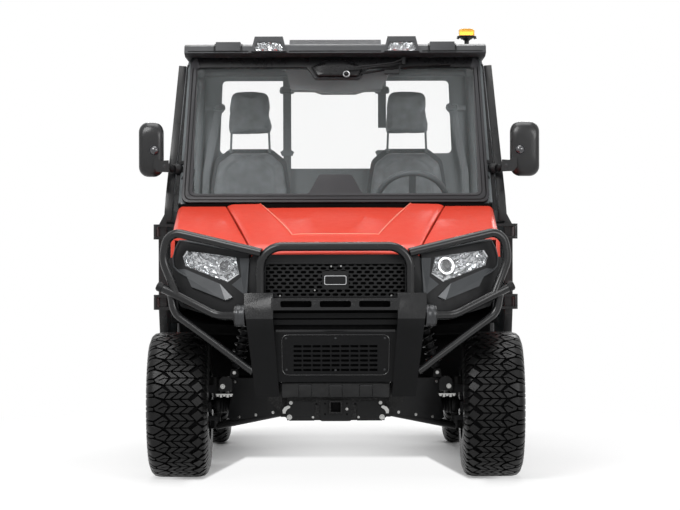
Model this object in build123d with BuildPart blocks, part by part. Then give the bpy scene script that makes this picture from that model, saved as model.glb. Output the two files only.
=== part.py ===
from build123d import *

import os
from math import cos, radians, sin

# Diesel side by side utility vehicle with a closed cab, in millimetres.
# -Y is the front, +X is the vehicle's left (driver's) side, +Z is up. The origin lies on
# the ground, on the centre line, half way between the bull bar's nose and the tail.

# ---------------------------------------------------------------- driving dimensions
OVERALL_LENGTH = 3020.0
FRONT_OVERHANG = 470.0       # nose to front axle
WHEELBASE = 2010.0
TRACK = 1366.0
GROUND_CLEARANCE = 262.0
RUN = 0.3                    # running gap between pieces that move or nearly touch
SHUT = 5.0                   # shut line between body panels

NOSE_Y = -OVERALL_LENGTH / 2
TAIL_Y = OVERALL_LENGTH / 2
FRONT_AXLE_Y = NOSE_Y + FRONT_OVERHANG
REAR_AXLE_Y = FRONT_AXLE_Y + WHEELBASE
WHEEL_X = TRACK / 2

# Wheels
TYRE_OD = 635.0
TYRE_WIDTH = 265.0
CARCASS_RADIUS = 307.0
SHOULDER_RADIUS = 268.0
SIDEWALL_RADIUS = 205.0
BEAD_WIDTH = 224.0
BORE_RADIUS = 160.0
TYRE_SIDES = 32
TREAD_CROWN = 30.0           # tread edge inboard of the sidewall
LUG_LENGTH = 66.0            # along the axle
LUG_WIDTH = 32.0             # round the tread
RIM_WALL = 7.0
RIM_LIP = 12.0
DISC_THICKNESS = 14.0
DISC_OFFSET = 58.0           # disc face outboard of the wheel's centre plane
HUB_RADIUS = 62.0
HUB_CORE = 46.0
HUB_BACK = 60.0
WINDOW_CENTRE = 118.0
AXLE_Z = TYRE_OD / 2

# Suspension and steering
KINGPIN_X = 530.0
BALL_RADIUS = 24.0
LOWER_BALL_Z = 230.0         # centre of the lower arm's end
UPPER_BALL_Z = 422.0
BALL_HEIGHT = 35.0
ARM_DROP = 10.0              # the lower tubes meet their end this far below its top
LOWER_PIVOT = (232.0, 290.0)  # x, z
UPPER_PIVOT = (312.0, 430.0)
LOWER_BASE = 150.0           # half distance between an arm's two pivots
UPPER_BASE = 100.0
LOWER_TUBE_D = 30.0
UPPER_TUBE_D = 26.0
SLEEVE_LENGTH = 40.0
SLEEVE_D = 34.0
LUG_PLATE = 6.0
EYE_HALF = 22.0
TOP_EYE_HALF = 34.0
DIFF_HALF = 110.0
KNUCKLE_PLATE_X = 564.0
KNUCKLE_PLATE_T = 22.0
KNUCKLE_HALF_WIDTH = 44.0
STEER_ARM = 104.0            # kingpin to tie rod end
STEER_ARM_Z = (296.0, 308.0)
ROD_END_RADIUS = 17.0
RACK_D = 24.0
RACK_Z = 322.0
RACK_HOUSING_HALF = 150.0
SHAFT_D = 28.0
PROP_SHAFT_D = 28.0
SHOCK_LOWER = (445.0, 458.0)  # x, z of the eye on the upper arm
FRONT_SHOCK_TOP = (352.0, 800.0)
REAR_SHOCK_TOP = (366.0, 705.0)
SPRING_D = 68.0
SPRING_WIRE = 11.0
SPRING_COILS = 8
DAMPER_D = 40.0
TOWER_POST_D = 28.0
EYE_D = 30.0

# Chassis
RAIL_X = 260.0
RAIL_WIDTH = 60.0
RAIL_Z = (345.0, 420.0)
RAIL_FRONT_Y = FRONT_AXLE_Y - 290.0
RAIL_REAR_Y = TAIL_Y - 60.0
SKID_T = 6.0
SKID_TOP_Z = GROUND_CLEARANCE + SKID_T
LOW_RAIL_X = (162.0, 210.0)
LOW_RAIL_TOP_Z = 300.0
LOW_RAIL_HALF = 230.0
NOSE_POST_X = 250.0
NOSE_POST_Z = 930.0
BULKHEAD_T = 8.0
BULKHEAD_OFFSET = 205.0
BED_RAIL_X = 300.0
BED_RAIL_WIDTH = 60.0
BED_RAIL_Z = (700.0, 744.0)
BED_RAIL_FRONT_Y = REAR_AXLE_Y - 470.0
RECEIVER_OUTER = 63.5
RECEIVER_INNER = 51.0
RECEIVER_LENGTH = 170.0
REAR_RECEIVER_Z = 400.0
HITCH_PIN_D = 16.0
HITCH_PIN_INSET = 60.0
ENGINE_Z = (316.0, 660.0)
FRONT_RECEIVER_Z = 320.0
FRONT_RECEIVER_OUTER = 56.0
FRONT_RECEIVER_INNER = 42.0

# Bull bar
BAR_D = 38.0
POST_TOP_X = (263.0, 385.0)
POST_FOOT_X = (238.0, 338.0)
POST_TOP_Z = 813.0
POST_NOSE_Z = 705.0
POST_FOOT_Z = 375.0
POST_DEPTH = 66.0
POST_RAKE = 50.0             # the post's ends lie this far behind its nose
CROSSBAR_Z = (741.0, 792.0)
CROSSBAR_T = 34.0
GUARD_Z = (437.0, 654.0)
GUARD_T = 10.0
SLOT_COUNT = (9, 6)
SLOT_PITCH = (40.0, 20.0)
SLOT_SIZE = (34.0, 10.0)
VENT_SIZE = (132.0, 27.0)
VENT_PITCH = 166.0

# Body panels
COWL_Y = FRONT_AXLE_Y + 342.0
COWL_Z = 1195.0
COWL_TUBE_Z = 1140.0
DASH_LOW_Z = 1000.0
POD_LENS_Z = (1920.0, 1962.0)
BONNET_SLOPE = 0.30
PANEL_T = 18.0
HOOD_REAR_X = 490.0
HOOD_FRONT_X = 356.0
HOOD_FRONT_Y = FRONT_AXLE_Y - 330.0
SHOULDER_RISE = 12.0
FENDER_X = 716.0
ARCH_RADIUS = 455.0
FENDER_REAR_Y = COWL_Y + 12.0
FENDER_LOW_Z = 690.0
FASCIA_FRONT_Y = FRONT_AXLE_Y - 350.0
FASCIA_DEPTH = RAIL_FRONT_Y - RUN - FASCIA_FRONT_Y
FASCIA_SWEEP = 22.0          # degrees that the lamp corners turn back
FASCIA_CORNER_X = 400.0
LAMP_DEPTH = 50.0

# Cab
TUBE_D = 50.0
PILLAR_FOOT = (697.0, COWL_Y + 48.0, 1190.0)
PILLAR_HEAD = (665.0, COWL_Y + 368.0, 1872.0)
B_PILLAR_Y = COWL_Y + 1048.0
CAB_FLOOR_Z = 420.0
FLOOR_T = 20.0
FLOOR_FRONT_Y = COWL_Y + 106.0
FLOOR_HALF = 672.0
SEAT_BOX_FRONT_Y = COWL_Y + 660.0
SEAT_BOX_Z = 750.0
BOX_WALL = 15.0
SILL_X = (700.0, 790.0)
SILL_Z = (400.0, 496.0)
SCREEN_T = 22.0
GLASS_T = 6.0
SCREEN_HEIGHT = 755.0
ROOF_HALF = 700.0
ROOF_EDGE_Z = 1955.0
ROOF_TOP_Z = 2000.0
ROOF_FRONT_Y = COWL_Y + 262.0
ROOF_REAR_Y = B_PILLAR_Y + 80.0
WALL_T = 20.0
REAR_WALL_HALF = 705.0
WALL_TOP_HALF = 682.0

# Doors
DOOR_X = 804.0               # outer face below the belt
DOOR_BELT_X = 780.0          # outer face of the window frame at the belt
DOOR_TOP_X = 732.0           # outer face at the top
BELT_Z = 1158.0
DOOR_TOP_Z = 1862.0
DOOR_BOTTOM_Z = 505.0
BELT_SLOPE = 46.0
DOOR_T = 34.0
DOOR_FRONT_Y = COWL_Y + 58.0
DOOR_REAR_Y = B_PILLAR_Y + 16.0
HINGE_X = 816.0
HINGE_Y = DOOR_FRONT_Y - 13.0
HINGE_ZS = (760.0, 1080.0)
HINGE_D = 24.0
HINGE_PIN_D = 12.0
HINGE_LENGTH = 44.0
HINGE_LUG = 12.0

# Seats and controls
SEAT_XS = (350.0, -420.0)
SEAT_WIDTH = 420.0
SEAT_TOP_Z = 895.0
SEAT_BACK_TOP_Z = 1490.0
HEADREST_Z = (1565.0, 1779.0)
HEADREST_WIDTH = 214.0
WHEEL_CENTRE = (360.0, COWL_Y + 455.0, 1222.0)
STEER_WHEEL_D = 356.0
STEER_RIM_D = 28.0
COLUMN_ANGLE = 35.0          # degrees above level

# Cargo bed
BED_HALF = 745.0
BED_WALL = 30.0
BED_FLOOR_Z = (800.0, 825.0)
BED_TOP_Z = 1100.0
BED_FRONT_Y = B_PILLAR_Y + 92.0
BED_REAR_Y = TAIL_Y - 38.0
BED_PIVOT = (TAIL_Y - 140.0, 722.0)  # y, z
PIVOT_PIN_D = 24.0
EAR_T = 8.0
EAR_GAP = 1.5
TAILGATE_T = 28.0
POST_WIDTH = 46.0
LIFT_FOOT = (TAIL_Y - 410.0, 450.0)  # y, z of the cylinder's lower pin
LIFT_EYE = (TAIL_Y - 810.0, 757.0)   # y, z of the rod's eye under the bed
LIFT_BARREL_D = 52.0
LIFT_ROD_D = 28.0
LIFT_BARREL_LENGTH = 370.0
LIFT_LUG_GAP = 30.0

# ---------------------------------------------------------------- small helpers


def brick(x, y, z, mode=Mode.ADD):
    """A box between two values on each axis."""
    centre = tuple((low + high) / 2 for low, high in (x, y, z))
    with Locations(centre):
        Box(abs(x[1] - x[0]), abs(y[1] - y[0]), abs(z[1] - z[0]), mode=mode)


def prism(outline, plane, depth, corner=0.0, mode=Mode.ADD):
    """A straight-sided outline on a plane, pushed out along the plane's normal."""
    with BuildSketch(plane) as face:
        with BuildLine():
            Polyline(*outline, close=True)
        make_face()
        if corner:
            fillet(face.vertices(), corner)
    extrude(face.sketch, amount=depth, mode=mode)


def side_plate(outline_yz, x, corner=0.0, mode=Mode.ADD):
    """An outline seen from the side, between two values of X."""
    prism(outline_yz, Plane.YZ.offset(min(x)), abs(x[1] - x[0]), corner, mode)


def front_plate(outline_xz, y, corner=0.0, mode=Mode.ADD):
    """An outline seen from the front, between two values of Y."""
    prism(outline_xz, Plane.XZ.offset(-max(y)), abs(y[1] - y[0]), corner, mode)


def top_plate(outline_xy, z, corner=0.0, mode=Mode.ADD):
    """An outline seen from above, between two values of Z."""
    prism(outline_xy, Plane.XY.offset(min(z)), abs(z[1] - z[0]), corner, mode)


def rod(start, end, diameter, mode=Mode.ADD):
    """A round bar between two points."""
    run = Vector(*end) - Vector(*start)
    with BuildSketch(Plane(origin=start, z_dir=run)) as section:
        Circle(diameter / 2)
    extrude(section.sketch, amount=run.length, mode=mode)


def bent_tube(points, bend, diameter):
    """A round tube along straight runs joined by tangent arcs."""
    with BuildLine() as route:
        FilletPolyline(*points, radius=bend)
    start = route.line @ 0
    with BuildSketch(Plane(origin=start, z_dir=route.line % 0)) as section:
        Circle(diameter / 2)
    sweep(section.sketch, path=route.line)


def turned(profile, origin, direction, mode=Mode.ADD):
    """A closed (along, radius) outline turned about an axis through origin."""
    across = Vector(*direction).cross(Vector(0, 1, 0))
    plane = Plane(origin=origin, x_dir=direction, z_dir=across)
    with BuildSketch(plane) as section:
        with BuildLine():
            Polyline(*profile, close=True)
        make_face()
    revolve(section.sketch, axis=Axis(origin, direction), mode=mode)


def finish(piece, name):
    """Name a finished piece and write it out."""
    piece.part.label = name
    export_step(piece.part, f"parts/{name}.step")


def bonnet_z(y):
    """Height of the bonnet's sloping surface above the ground."""
    return COWL_Z - BONNET_SLOPE * (COWL_Y - y)


def part_edges_along_y(builder, x, low_z):
    """The long edges that run back along the vehicle at one X, above a height."""
    edges = builder.edges().filter_by(GeomType.LINE)
    return [e for e in edges if abs(e.center().X - x) < 1 and e.center().Z > low_z
            and abs((e @ 1 - e @ 0).Y) > 100]


os.makedirs("parts", exist_ok=True)
SIDES = (("left", 1), ("right", -1))

# ---------------------------------------------------------------- wheels
LUG_HEIGHT = TYRE_OD / 2 - CARCASS_RADIUS + 14.0
LUG_CENTRE = TYRE_OD / 2 - LUG_HEIGHT / 2
BARREL_RADIUS = BORE_RADIUS - RUN
LIP_RADIUS = BORE_RADIUS + RIM_LIP

with BuildPart() as tyre_form:
    # half width at this ring, radius of the ring's corners
    rings = ((0.0, CARCASS_RADIUS), (TYRE_WIDTH / 2 - TREAD_CROWN, CARCASS_RADIUS - 4),
             (TYRE_WIDTH / 2, SHOULDER_RADIUS), (TYRE_WIDTH / 2, SIDEWALL_RADIUS),
             (BEAD_WIDTH / 2, LIP_RADIUS))
    for half in (1, -1):
        sections = []
        for station, radius in rings:
            with BuildSketch(Plane.YZ.offset(half * station)) as ring:
                RegularPolygon(radius, TYRE_SIDES)
            sections.append(ring.sketch)
        loft(sections[:2], ruled=True)
        loft(sections[1:3], ruled=True)
    with BuildSketch(Plane.YZ) as hole:
        Circle(BORE_RADIUS)
    extrude(hole.sketch, amount=TYRE_WIDTH, both=True, mode=Mode.SUBTRACT)
    lug_places = []
    for half, shift in ((1, 0.0), (-1, 0.5)):
        row_x = half * (TYRE_WIDTH / 2 - LUG_LENGTH / 2 - 2)
        for step in range(TYRE_SIDES):
            turn = (step + shift) * 360 / TYRE_SIDES
            lug_places.append(Location((row_x, 0, 0), (turn, 0, 0)) * Location((0, 0, LUG_CENTRE)))
    with Locations(*lug_places):
        Box(LUG_LENGTH, LUG_WIDTH, LUG_HEIGHT)

RIM_EDGE = BEAD_WIDTH / 2 + 8
with BuildPart() as rim_form:
    barrel = ((-RIM_EDGE, BARREL_RADIUS - RIM_WALL), (RIM_EDGE, BARREL_RADIUS - RIM_WALL),
              (RIM_EDGE, BARREL_RADIUS), (-RIM_EDGE, BARREL_RADIUS))
    turned(barrel, (0, 0, 0), (1, 0, 0))
    disc = ((DISC_OFFSET - DISC_THICKNESS, 0), (DISC_OFFSET, 0), (DISC_OFFSET, HUB_RADIUS),
            (DISC_OFFSET + 26, HUB_RADIUS + 34), (DISC_OFFSET + 26, BARREL_RADIUS - RIM_WALL + 2),
            (DISC_OFFSET + 26 - DISC_THICKNESS, BARREL_RADIUS - RIM_WALL + 2),
            (DISC_OFFSET + 26 - DISC_THICKNESS, HUB_RADIUS + 38),
            (DISC_OFFSET - DISC_THICKNESS, HUB_RADIUS + 4))
    turned(disc, (0, 0, 0), (1, 0, 0))
    window_places = [Location((DISC_OFFSET, 0, 0), (step * 45, 0, 0)) * Location((0, 0, WINDOW_CENTRE))
                     for step in range(8)]
    with Locations(*window_places):
        Box(90, 46, 34, mode=Mode.SUBTRACT)
    turned(((-HUB_BACK, 0), (DISC_OFFSET - 4, 0), (DISC_OFFSET - 4, HUB_CORE), (-HUB_BACK, HUB_CORE)),
           (0, 0, 0), (1, 0, 0))

WHEELS = (("front", FRONT_AXLE_Y), ("rear", REAR_AXLE_Y))
for end, axle_y in WHEELS:
    for side, sign in SIDES:
        place = Location((sign * WHEEL_X, axle_y, AXLE_Z), (0, 0, 0 if sign > 0 else 180))
        with BuildPart() as tyre:
            add(tyre_form.part.moved(place))
        finish(tyre, f"tyre_{end}_{side}")
        with BuildPart() as rim:
            add(rim_form.part.moved(place))
        finish(rim, f"rim_{end}_{side}")

# ---------------------------------------------------------------- suspension and steering


def arm(pivot, half_base, ball_z, tube, axle_y, ball_height=BALL_HEIGHT):
    """An A-shaped arm: two sleeves on the frame, two tubes and a flat round end."""
    pivot_x, pivot_z = pivot
    tube_z = min(ball_z, ball_z + ball_height / 2 - tube / 2 - ARM_DROP * (pivot_z > ball_z + 30))
    for end in (1, -1):
        sleeve_y = axle_y + end * half_base
        rod((pivot_x, sleeve_y - SLEEVE_LENGTH / 2, pivot_z),
            (pivot_x, sleeve_y + SLEEVE_LENGTH / 2, pivot_z), SLEEVE_D)
        rod((pivot_x, sleeve_y, pivot_z), (KINGPIN_X - 4, axle_y + end * 6, tube_z), tube)
    brace_x = (pivot_x + KINGPIN_X) / 2
    brace_z = (pivot_z + ball_z) / 2
    rod((brace_x, axle_y - half_base / 2, brace_z), (brace_x, axle_y + half_base / 2, brace_z), tube - 6)
    rod((KINGPIN_X, axle_y, ball_z - ball_height / 2),
        (KINGPIN_X, axle_y, ball_z + ball_height / 2), 2 * BALL_RADIUS)


def shock_saddle(axle_y):
    """Two ears on the upper arm that hold the shock's lower eye."""
    eye_x, eye_z = SHOCK_LOWER
    for end in (1, -1):
        side_y = axle_y + end * (EYE_HALF + RUN)
        front_plate(((eye_x - 24, UPPER_BALL_Z - 6), (eye_x + 24, UPPER_BALL_Z - 6),
                     (eye_x + 14, eye_z + 14), (eye_x - 14, eye_z + 14)),
                    (side_y, side_y + end * LUG_PLATE))
    brick((eye_x - 26, eye_x + 26), (axle_y - EYE_HALF - LUG_PLATE, axle_y + EYE_HALF + LUG_PLATE),
          (UPPER_BALL_Z - 8, UPPER_BALL_Z + 4))


KNUCKLE_Z = (LOWER_BALL_Z + BALL_HEIGHT / 2 + RUN, UPPER_BALL_Z - BALL_HEIGHT / 2 - RUN)
KNUCKLE_OUT_X = KNUCKLE_PLATE_X + KNUCKLE_PLATE_T


def upright(axle_y):
    """The C-shaped carrier between the two arm ends, with the wheel's stub axle."""
    low_z, high_z = KNUCKLE_Z
    for z in ((low_z, low_z + 20), (high_z - 36, high_z)):
        brick((KINGPIN_X, KNUCKLE_OUT_X), (axle_y - BALL_RADIUS, axle_y + BALL_RADIUS), z)
        rod((KINGPIN_X, axle_y, z[0]), (KINGPIN_X, axle_y, z[1]), 2 * BALL_RADIUS)
    brick((KNUCKLE_PLATE_X, KNUCKLE_OUT_X),
          (axle_y - KNUCKLE_HALF_WIDTH, axle_y + KNUCKLE_HALF_WIDTH), (low_z, high_z))
    rod((KNUCKLE_PLATE_X, axle_y, AXLE_Z), (WHEEL_X - HUB_BACK - RUN, axle_y, AXLE_Z), 92)


with BuildPart() as front_arms:
    arm(LOWER_PIVOT, LOWER_BASE, LOWER_BALL_Z, LOWER_TUBE_D, FRONT_AXLE_Y)
    arm(UPPER_PIVOT, UPPER_BASE, UPPER_BALL_Z, UPPER_TUBE_D, FRONT_AXLE_Y)
    shock_saddle(FRONT_AXLE_Y)
    mirror(about=Plane.YZ)
finish(front_arms, "front_arms")

with BuildPart() as rear_arms:
    arm(LOWER_PIVOT, LOWER_BASE, LOWER_BALL_Z, LOWER_TUBE_D, REAR_AXLE_Y)
    arm(UPPER_PIVOT, UPPER_BASE, UPPER_BALL_Z, UPPER_TUBE_D, REAR_AXLE_Y)
    shock_saddle(REAR_AXLE_Y)
    rod((KINGPIN_X, REAR_AXLE_Y, LOWER_BALL_Z), (KINGPIN_X, REAR_AXLE_Y, KNUCKLE_Z[0] + 10), 40)
    rod((KINGPIN_X, REAR_AXLE_Y, KNUCKLE_Z[1] - 10), (KINGPIN_X, REAR_AXLE_Y, UPPER_BALL_Z), 40)
    upright(REAR_AXLE_Y)
    mirror(about=Plane.YZ)
finish(rear_arms, "rear_arms")

for side, sign in SIDES:
    with BuildPart() as knuckle:
        upright(FRONT_AXLE_Y)
        eye_y = FRONT_AXLE_Y + STEER_ARM
        top_plate(((KNUCKLE_PLATE_X + 2, FRONT_AXLE_Y), (KNUCKLE_OUT_X, FRONT_AXLE_Y),
                   (KNUCKLE_OUT_X, FRONT_AXLE_Y + KNUCKLE_HALF_WIDTH + 14),
                   (KINGPIN_X + 16, eye_y + 8), (KINGPIN_X - 16, eye_y - 8),
                   (KNUCKLE_PLATE_X + 2, FRONT_AXLE_Y + KNUCKLE_HALF_WIDTH + 6)), STEER_ARM_Z)
        rod((KINGPIN_X, eye_y, STEER_ARM_Z[0]), (KINGPIN_X, eye_y, STEER_ARM_Z[1]),
            2 * ROD_END_RADIUS)
    with BuildPart() as knuckle_side:
        if sign > 0:
            add(knuckle.part)
        else:
            mirror(knuckle.part, about=Plane.YZ)
    finish(knuckle_side, f"knuckle_{side}")

RACK_Y = FRONT_AXLE_Y + STEER_ARM
ROD_END_Z = (STEER_ARM_Z[1] + RUN, STEER_ARM_Z[1] + RUN + 28)
with BuildPart() as steering_rack:
    rod((-KINGPIN_X, RACK_Y, RACK_Z), (KINGPIN_X, RACK_Y, RACK_Z), RACK_D)
    for sign in (1, -1):
        rod((sign * KINGPIN_X, RACK_Y, ROD_END_Z[0]), (sign * KINGPIN_X, RACK_Y, ROD_END_Z[1]),
            2 * ROD_END_RADIUS)
finish(steering_rack, "steering_rack")


def shock(top, axle_y):
    """A spring over a damper between its two eyes, as one turned form with its coils."""
    (foot_x, foot_z), (top_x, top_z) = SHOCK_LOWER, top
    foot = Vector(foot_x, axle_y, foot_z)
    axis = Vector(top_x, axle_y, top_z) - foot
    length = axis.length
    start, stop = EYE_D / 2 + 16, length - EYE_D / 2 - 16
    pitch = (stop - start) / SPRING_COILS
    outline = [(6, 0), (6, 9), (start, 12), (start, SPRING_D / 2)]
    for coil in range(SPRING_COILS):
        low = start + coil * pitch
        outline += [(low + SPRING_WIRE, SPRING_D / 2), (low + SPRING_WIRE, DAMPER_D / 2),
                    (low + pitch, DAMPER_D / 2), (low + pitch, SPRING_D / 2)]
    outline += [(stop + 8, SPRING_D / 2), (stop + 8, 12), (length - 6, 12), (length - 6, 0)]
    turned(outline, tuple(foot), tuple(axis.normalized()))
    for x, z, half in ((foot_x, foot_z, EYE_HALF), (top_x, top_z, TOP_EYE_HALF)):
        rod((x, axle_y - half, z), (x, axle_y + half, z), EYE_D)


with BuildPart() as shocks:
    shock(FRONT_SHOCK_TOP, FRONT_AXLE_Y)
    shock(REAR_SHOCK_TOP, REAR_AXLE_Y)
    mirror(about=Plane.YZ)
finish(shocks, "shocks")

with BuildPart() as driveline:
    for axle_y in (FRONT_AXLE_Y, REAR_AXLE_Y):
        brick((-DIFF_HALF, DIFF_HALF), (axle_y - 96, axle_y + 76), (SKID_TOP_Z, SKID_TOP_Z + 112))
        for sign in (1, -1):
            shaft = ((DIFF_HALF - 6, 0), (DIFF_HALF - 6, 34), (DIFF_HALF + 34, 26),
                     (DIFF_HALF + 40, SHAFT_D / 2), (KINGPIN_X - 92, SHAFT_D / 2),
                     (KINGPIN_X - 84, 20), (KINGPIN_X - 30, 35), (KINGPIN_X, 29),
                     (KINGPIN_X + 18, 17), (KINGPIN_X + 18, 0))
            turned(shaft, (0, axle_y, AXLE_Z), (sign, 0, 0))
    prop_z = SKID_TOP_Z + PROP_SHAFT_D / 2 + 3
    rod((0, FRONT_AXLE_Y + 60, prop_z), (0, REAR_AXLE_Y - 80, prop_z), PROP_SHAFT_D)
finish(driveline, "driveline")

# ---------------------------------------------------------------- chassis


def pivot_lugs(pivot, half_base, axle_y, inner_x):
    """Plates on the frame either side of an arm's two sleeves."""
    pivot_x, pivot_z = pivot
    for end in (1, -1):
        for face in (1, -1):
            near = axle_y + end * half_base + face * (SLEEVE_LENGTH / 2 + RUN)
            brick((inner_x, pivot_x + 5), (near, near + face * LUG_PLATE),
                  (pivot_z - SLEEVE_D / 2, pivot_z + SLEEVE_D / 2))


def shock_tower(top, axle_y, height, inner_x):
    """Leaning posts and a head plate that carry the shock's upper eye."""
    top_x, top_z = top
    head_z = top_z + EYE_D / 2 + 4
    for end in (1, -1):
        post_y = axle_y + end * (TOP_EYE_HALF + RUN + 14)
        rod((RAIL_X + 10, post_y, RAIL_Z[1] - 10), (top_x, post_y, head_z + 4), TOWER_POST_D)
    brick((inner_x, top_x + 18), (axle_y - TOP_EYE_HALF - 28, axle_y + TOP_EYE_HALF + 28),
          (head_z, head_z + height))


RAIL_IN, RAIL_OUT = RAIL_X - RAIL_WIDTH / 2, RAIL_X + RAIL_WIDTH / 2
CROSS_YS = (RAIL_FRONT_Y + 30, FLOOR_FRONT_Y + 40, SEAT_BOX_FRONT_Y, B_PILLAR_Y, LIFT_FOOT[0],
            RAIL_REAR_Y - 30)
with BuildPart() as chassis_frame:
    brick((RAIL_IN, RAIL_OUT), (RAIL_FRONT_Y, RAIL_REAR_Y), RAIL_Z)
    for axle_y in (FRONT_AXLE_Y, REAR_AXLE_Y):
        brick(LOW_RAIL_X, (axle_y - LOW_RAIL_HALF, axle_y + LOW_RAIL_HALF), (SKID_TOP_Z, LOW_RAIL_TOP_Z))
        for end in (1, -1):
            wall_y = axle_y + end * BULKHEAD_OFFSET
            front_plate(((0, SKID_TOP_Z), (LOW_RAIL_X[1], SKID_TOP_Z), (RAIL_OUT, RAIL_Z[0]),
                         (RAIL_OUT, RAIL_Z[1]), (0, RAIL_Z[1])), (wall_y, wall_y + end * BULKHEAD_T))
            brick((-1, PROP_SHAFT_D), (wall_y - BULKHEAD_T - 1, wall_y + BULKHEAD_T + 1),
                  (SKID_TOP_Z, SKID_TOP_Z + PROP_SHAFT_D + 12), Mode.SUBTRACT)
        pivot_lugs(LOWER_PIVOT, LOWER_BASE, axle_y, LOW_RAIL_X[1] - 4)
        pivot_lugs(UPPER_PIVOT, UPPER_BASE, axle_y, RAIL_OUT - 4)
    shock_tower(FRONT_SHOCK_TOP, FRONT_AXLE_Y, 22, 0)
    shock_tower(REAR_SHOCK_TOP, REAR_AXLE_Y, 12, BED_RAIL_X - 10)
    for cross_y in CROSS_YS:
        brick((0, RAIL_IN), (cross_y - 25, cross_y + 25), (RAIL_Z[1] - 50, RAIL_Z[1]))
    # radiator posts that hold the nose
    brick((NOSE_POST_X - 15, NOSE_POST_X + 15), (RAIL_FRONT_Y, RAIL_FRONT_Y + 30), (RAIL_Z[1], NOSE_POST_Z))
    brick((0, NOSE_POST_X + 60), (RAIL_FRONT_Y, RAIL_FRONT_Y + 30), (NOSE_POST_Z - 30, NOSE_POST_Z))
    # rails under the cargo bed on their posts
    bed_in, bed_out = BED_RAIL_X - BED_RAIL_WIDTH / 2, BED_RAIL_X + BED_RAIL_WIDTH / 2
    brick((bed_in, bed_out), (BED_RAIL_FRONT_Y, BED_PIVOT[0]), BED_RAIL_Z)
    rod((bed_in, *BED_PIVOT), (bed_out, *BED_PIVOT), BED_RAIL_Z[1] - BED_RAIL_Z[0])
    for post_y in (BED_RAIL_FRONT_Y + 20, BED_PIVOT[0] - 10):
        brick((bed_in, RAIL_OUT), (post_y - 20, post_y + 20), (RAIL_Z[0], BED_RAIL_Z[0] + 10))
    brick((0, bed_in), (BED_PIVOT[0] - 20, BED_PIVOT[0] + 20), (BED_RAIL_Z[0] - 50, BED_RAIL_Z[0] - 10))
    mirror(about=Plane.YZ)
    rod((-bed_out - EAR_T - 6, *BED_PIVOT), (bed_out + EAR_T + 6, *BED_PIVOT), PIVOT_PIN_D)
    # front cross plate with its receiver, between the lower rails
    front_y = FRONT_AXLE_Y - LOW_RAIL_HALF
    brick((-LOW_RAIL_X[1], LOW_RAIL_X[1]), (front_y - 8, front_y), (SKID_TOP_Z, RAIL_Z[0] + 14))
    brick((-FRONT_RECEIVER_OUTER / 2, FRONT_RECEIVER_OUTER / 2), (front_y - 30, front_y + 34),
          (FRONT_RECEIVER_Z - FRONT_RECEIVER_OUTER / 2, FRONT_RECEIVER_Z + FRONT_RECEIVER_OUTER / 2))
    brick((-FRONT_RECEIVER_INNER / 2, FRONT_RECEIVER_INNER / 2), (front_y - 30, front_y + 34),
          (FRONT_RECEIVER_Z - FRONT_RECEIVER_INNER / 2, FRONT_RECEIVER_Z + FRONT_RECEIVER_INNER / 2),
          mode=Mode.SUBTRACT)
    # steering rack's housing
    brick((-RACK_HOUSING_HALF, RACK_HOUSING_HALF), (RACK_Y - 24, RACK_Y + 24), (RACK_Z - 21, RAIL_Z[0] + 2))
    brick((-RAIL_IN, RAIL_IN), (RACK_Y + 4, RACK_Y + 24), (RAIL_Z[0], RAIL_Z[0] + 20))
    rod((-KINGPIN_X, RACK_Y, RACK_Z), (KINGPIN_X, RACK_Y, RACK_Z), RACK_D + 2 * RUN, Mode.SUBTRACT)
    # steering shaft bracket, pivot lugs of the lift cylinder, rear receiver with its pin hole
    for sign in (1, -1):
        lug_x = sign * LIFT_LUG_GAP / 2
        rod((lug_x, *LIFT_FOOT), (lug_x + sign * 10, *LIFT_FOOT), 50)
        brick((lug_x, lug_x + sign * 10), (LIFT_FOOT[0] - 25, LIFT_FOOT[0] + 25),
              (RAIL_Z[1] - 20, LIFT_FOOT[1]))
    rod((-LIFT_LUG_GAP / 2 - 12, *LIFT_FOOT), (LIFT_LUG_GAP / 2 + 12, *LIFT_FOOT), 18)
    outer = RECEIVER_OUTER / 2
    receiver_y = (TAIL_Y - RECEIVER_LENGTH, TAIL_Y)
    brick((-outer, outer), receiver_y, (REAR_RECEIVER_Z - outer, REAR_RECEIVER_Z + outer))
    brick((-RAIL_OUT, RAIL_OUT), (RAIL_REAR_Y - 6, RAIL_REAR_Y + 6),
          (REAR_RECEIVER_Z - outer - 8, REAR_RECEIVER_Z + outer + 30))
    inner = RECEIVER_INNER / 2
    brick((-inner, inner), receiver_y, (REAR_RECEIVER_Z - inner, REAR_RECEIVER_Z + inner), mode=Mode.SUBTRACT)
    pin_y = TAIL_Y - HITCH_PIN_INSET / 2
    rod((-outer - 1, pin_y, REAR_RECEIVER_Z), (outer + 1, pin_y, REAR_RECEIVER_Z), HITCH_PIN_D, Mode.SUBTRACT)
finish(chassis_frame, "chassis_frame")

with BuildPart() as skid_plate:
    front_y = FRONT_AXLE_Y - LOW_RAIL_HALF
    brick((-LOW_RAIL_X[1], LOW_RAIL_X[1]), (front_y, REAR_AXLE_Y + LOW_RAIL_HALF),
          (GROUND_CLEARANCE, SKID_TOP_Z))
    nose_y = FASCIA_FRONT_Y - 20
    cross_z = RAIL_Z[1] - 50 - RUN
    side_plate(((front_y - 8 - RUN, cross_z), (RAIL_FRONT_Y - 4, cross_z), (nose_y, GUARD_Z[0] - 6),
                (nose_y, GUARD_Z[0] - 6 - SKID_T), (RAIL_FRONT_Y - 2, cross_z - SKID_T),
                (front_y - 8 - RUN, cross_z - SKID_T)), (-LOW_RAIL_X[1] - 20, LOW_RAIL_X[1] + 20))
finish(skid_plate, "skid_plate")

with BuildPart() as engine_block:
    brick((-RAIL_IN + RUN, RAIL_IN - RUN), (B_PILLAR_Y + 60, B_PILLAR_Y + 300), ENGINE_Z)
finish(engine_block, "engine_block")

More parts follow.
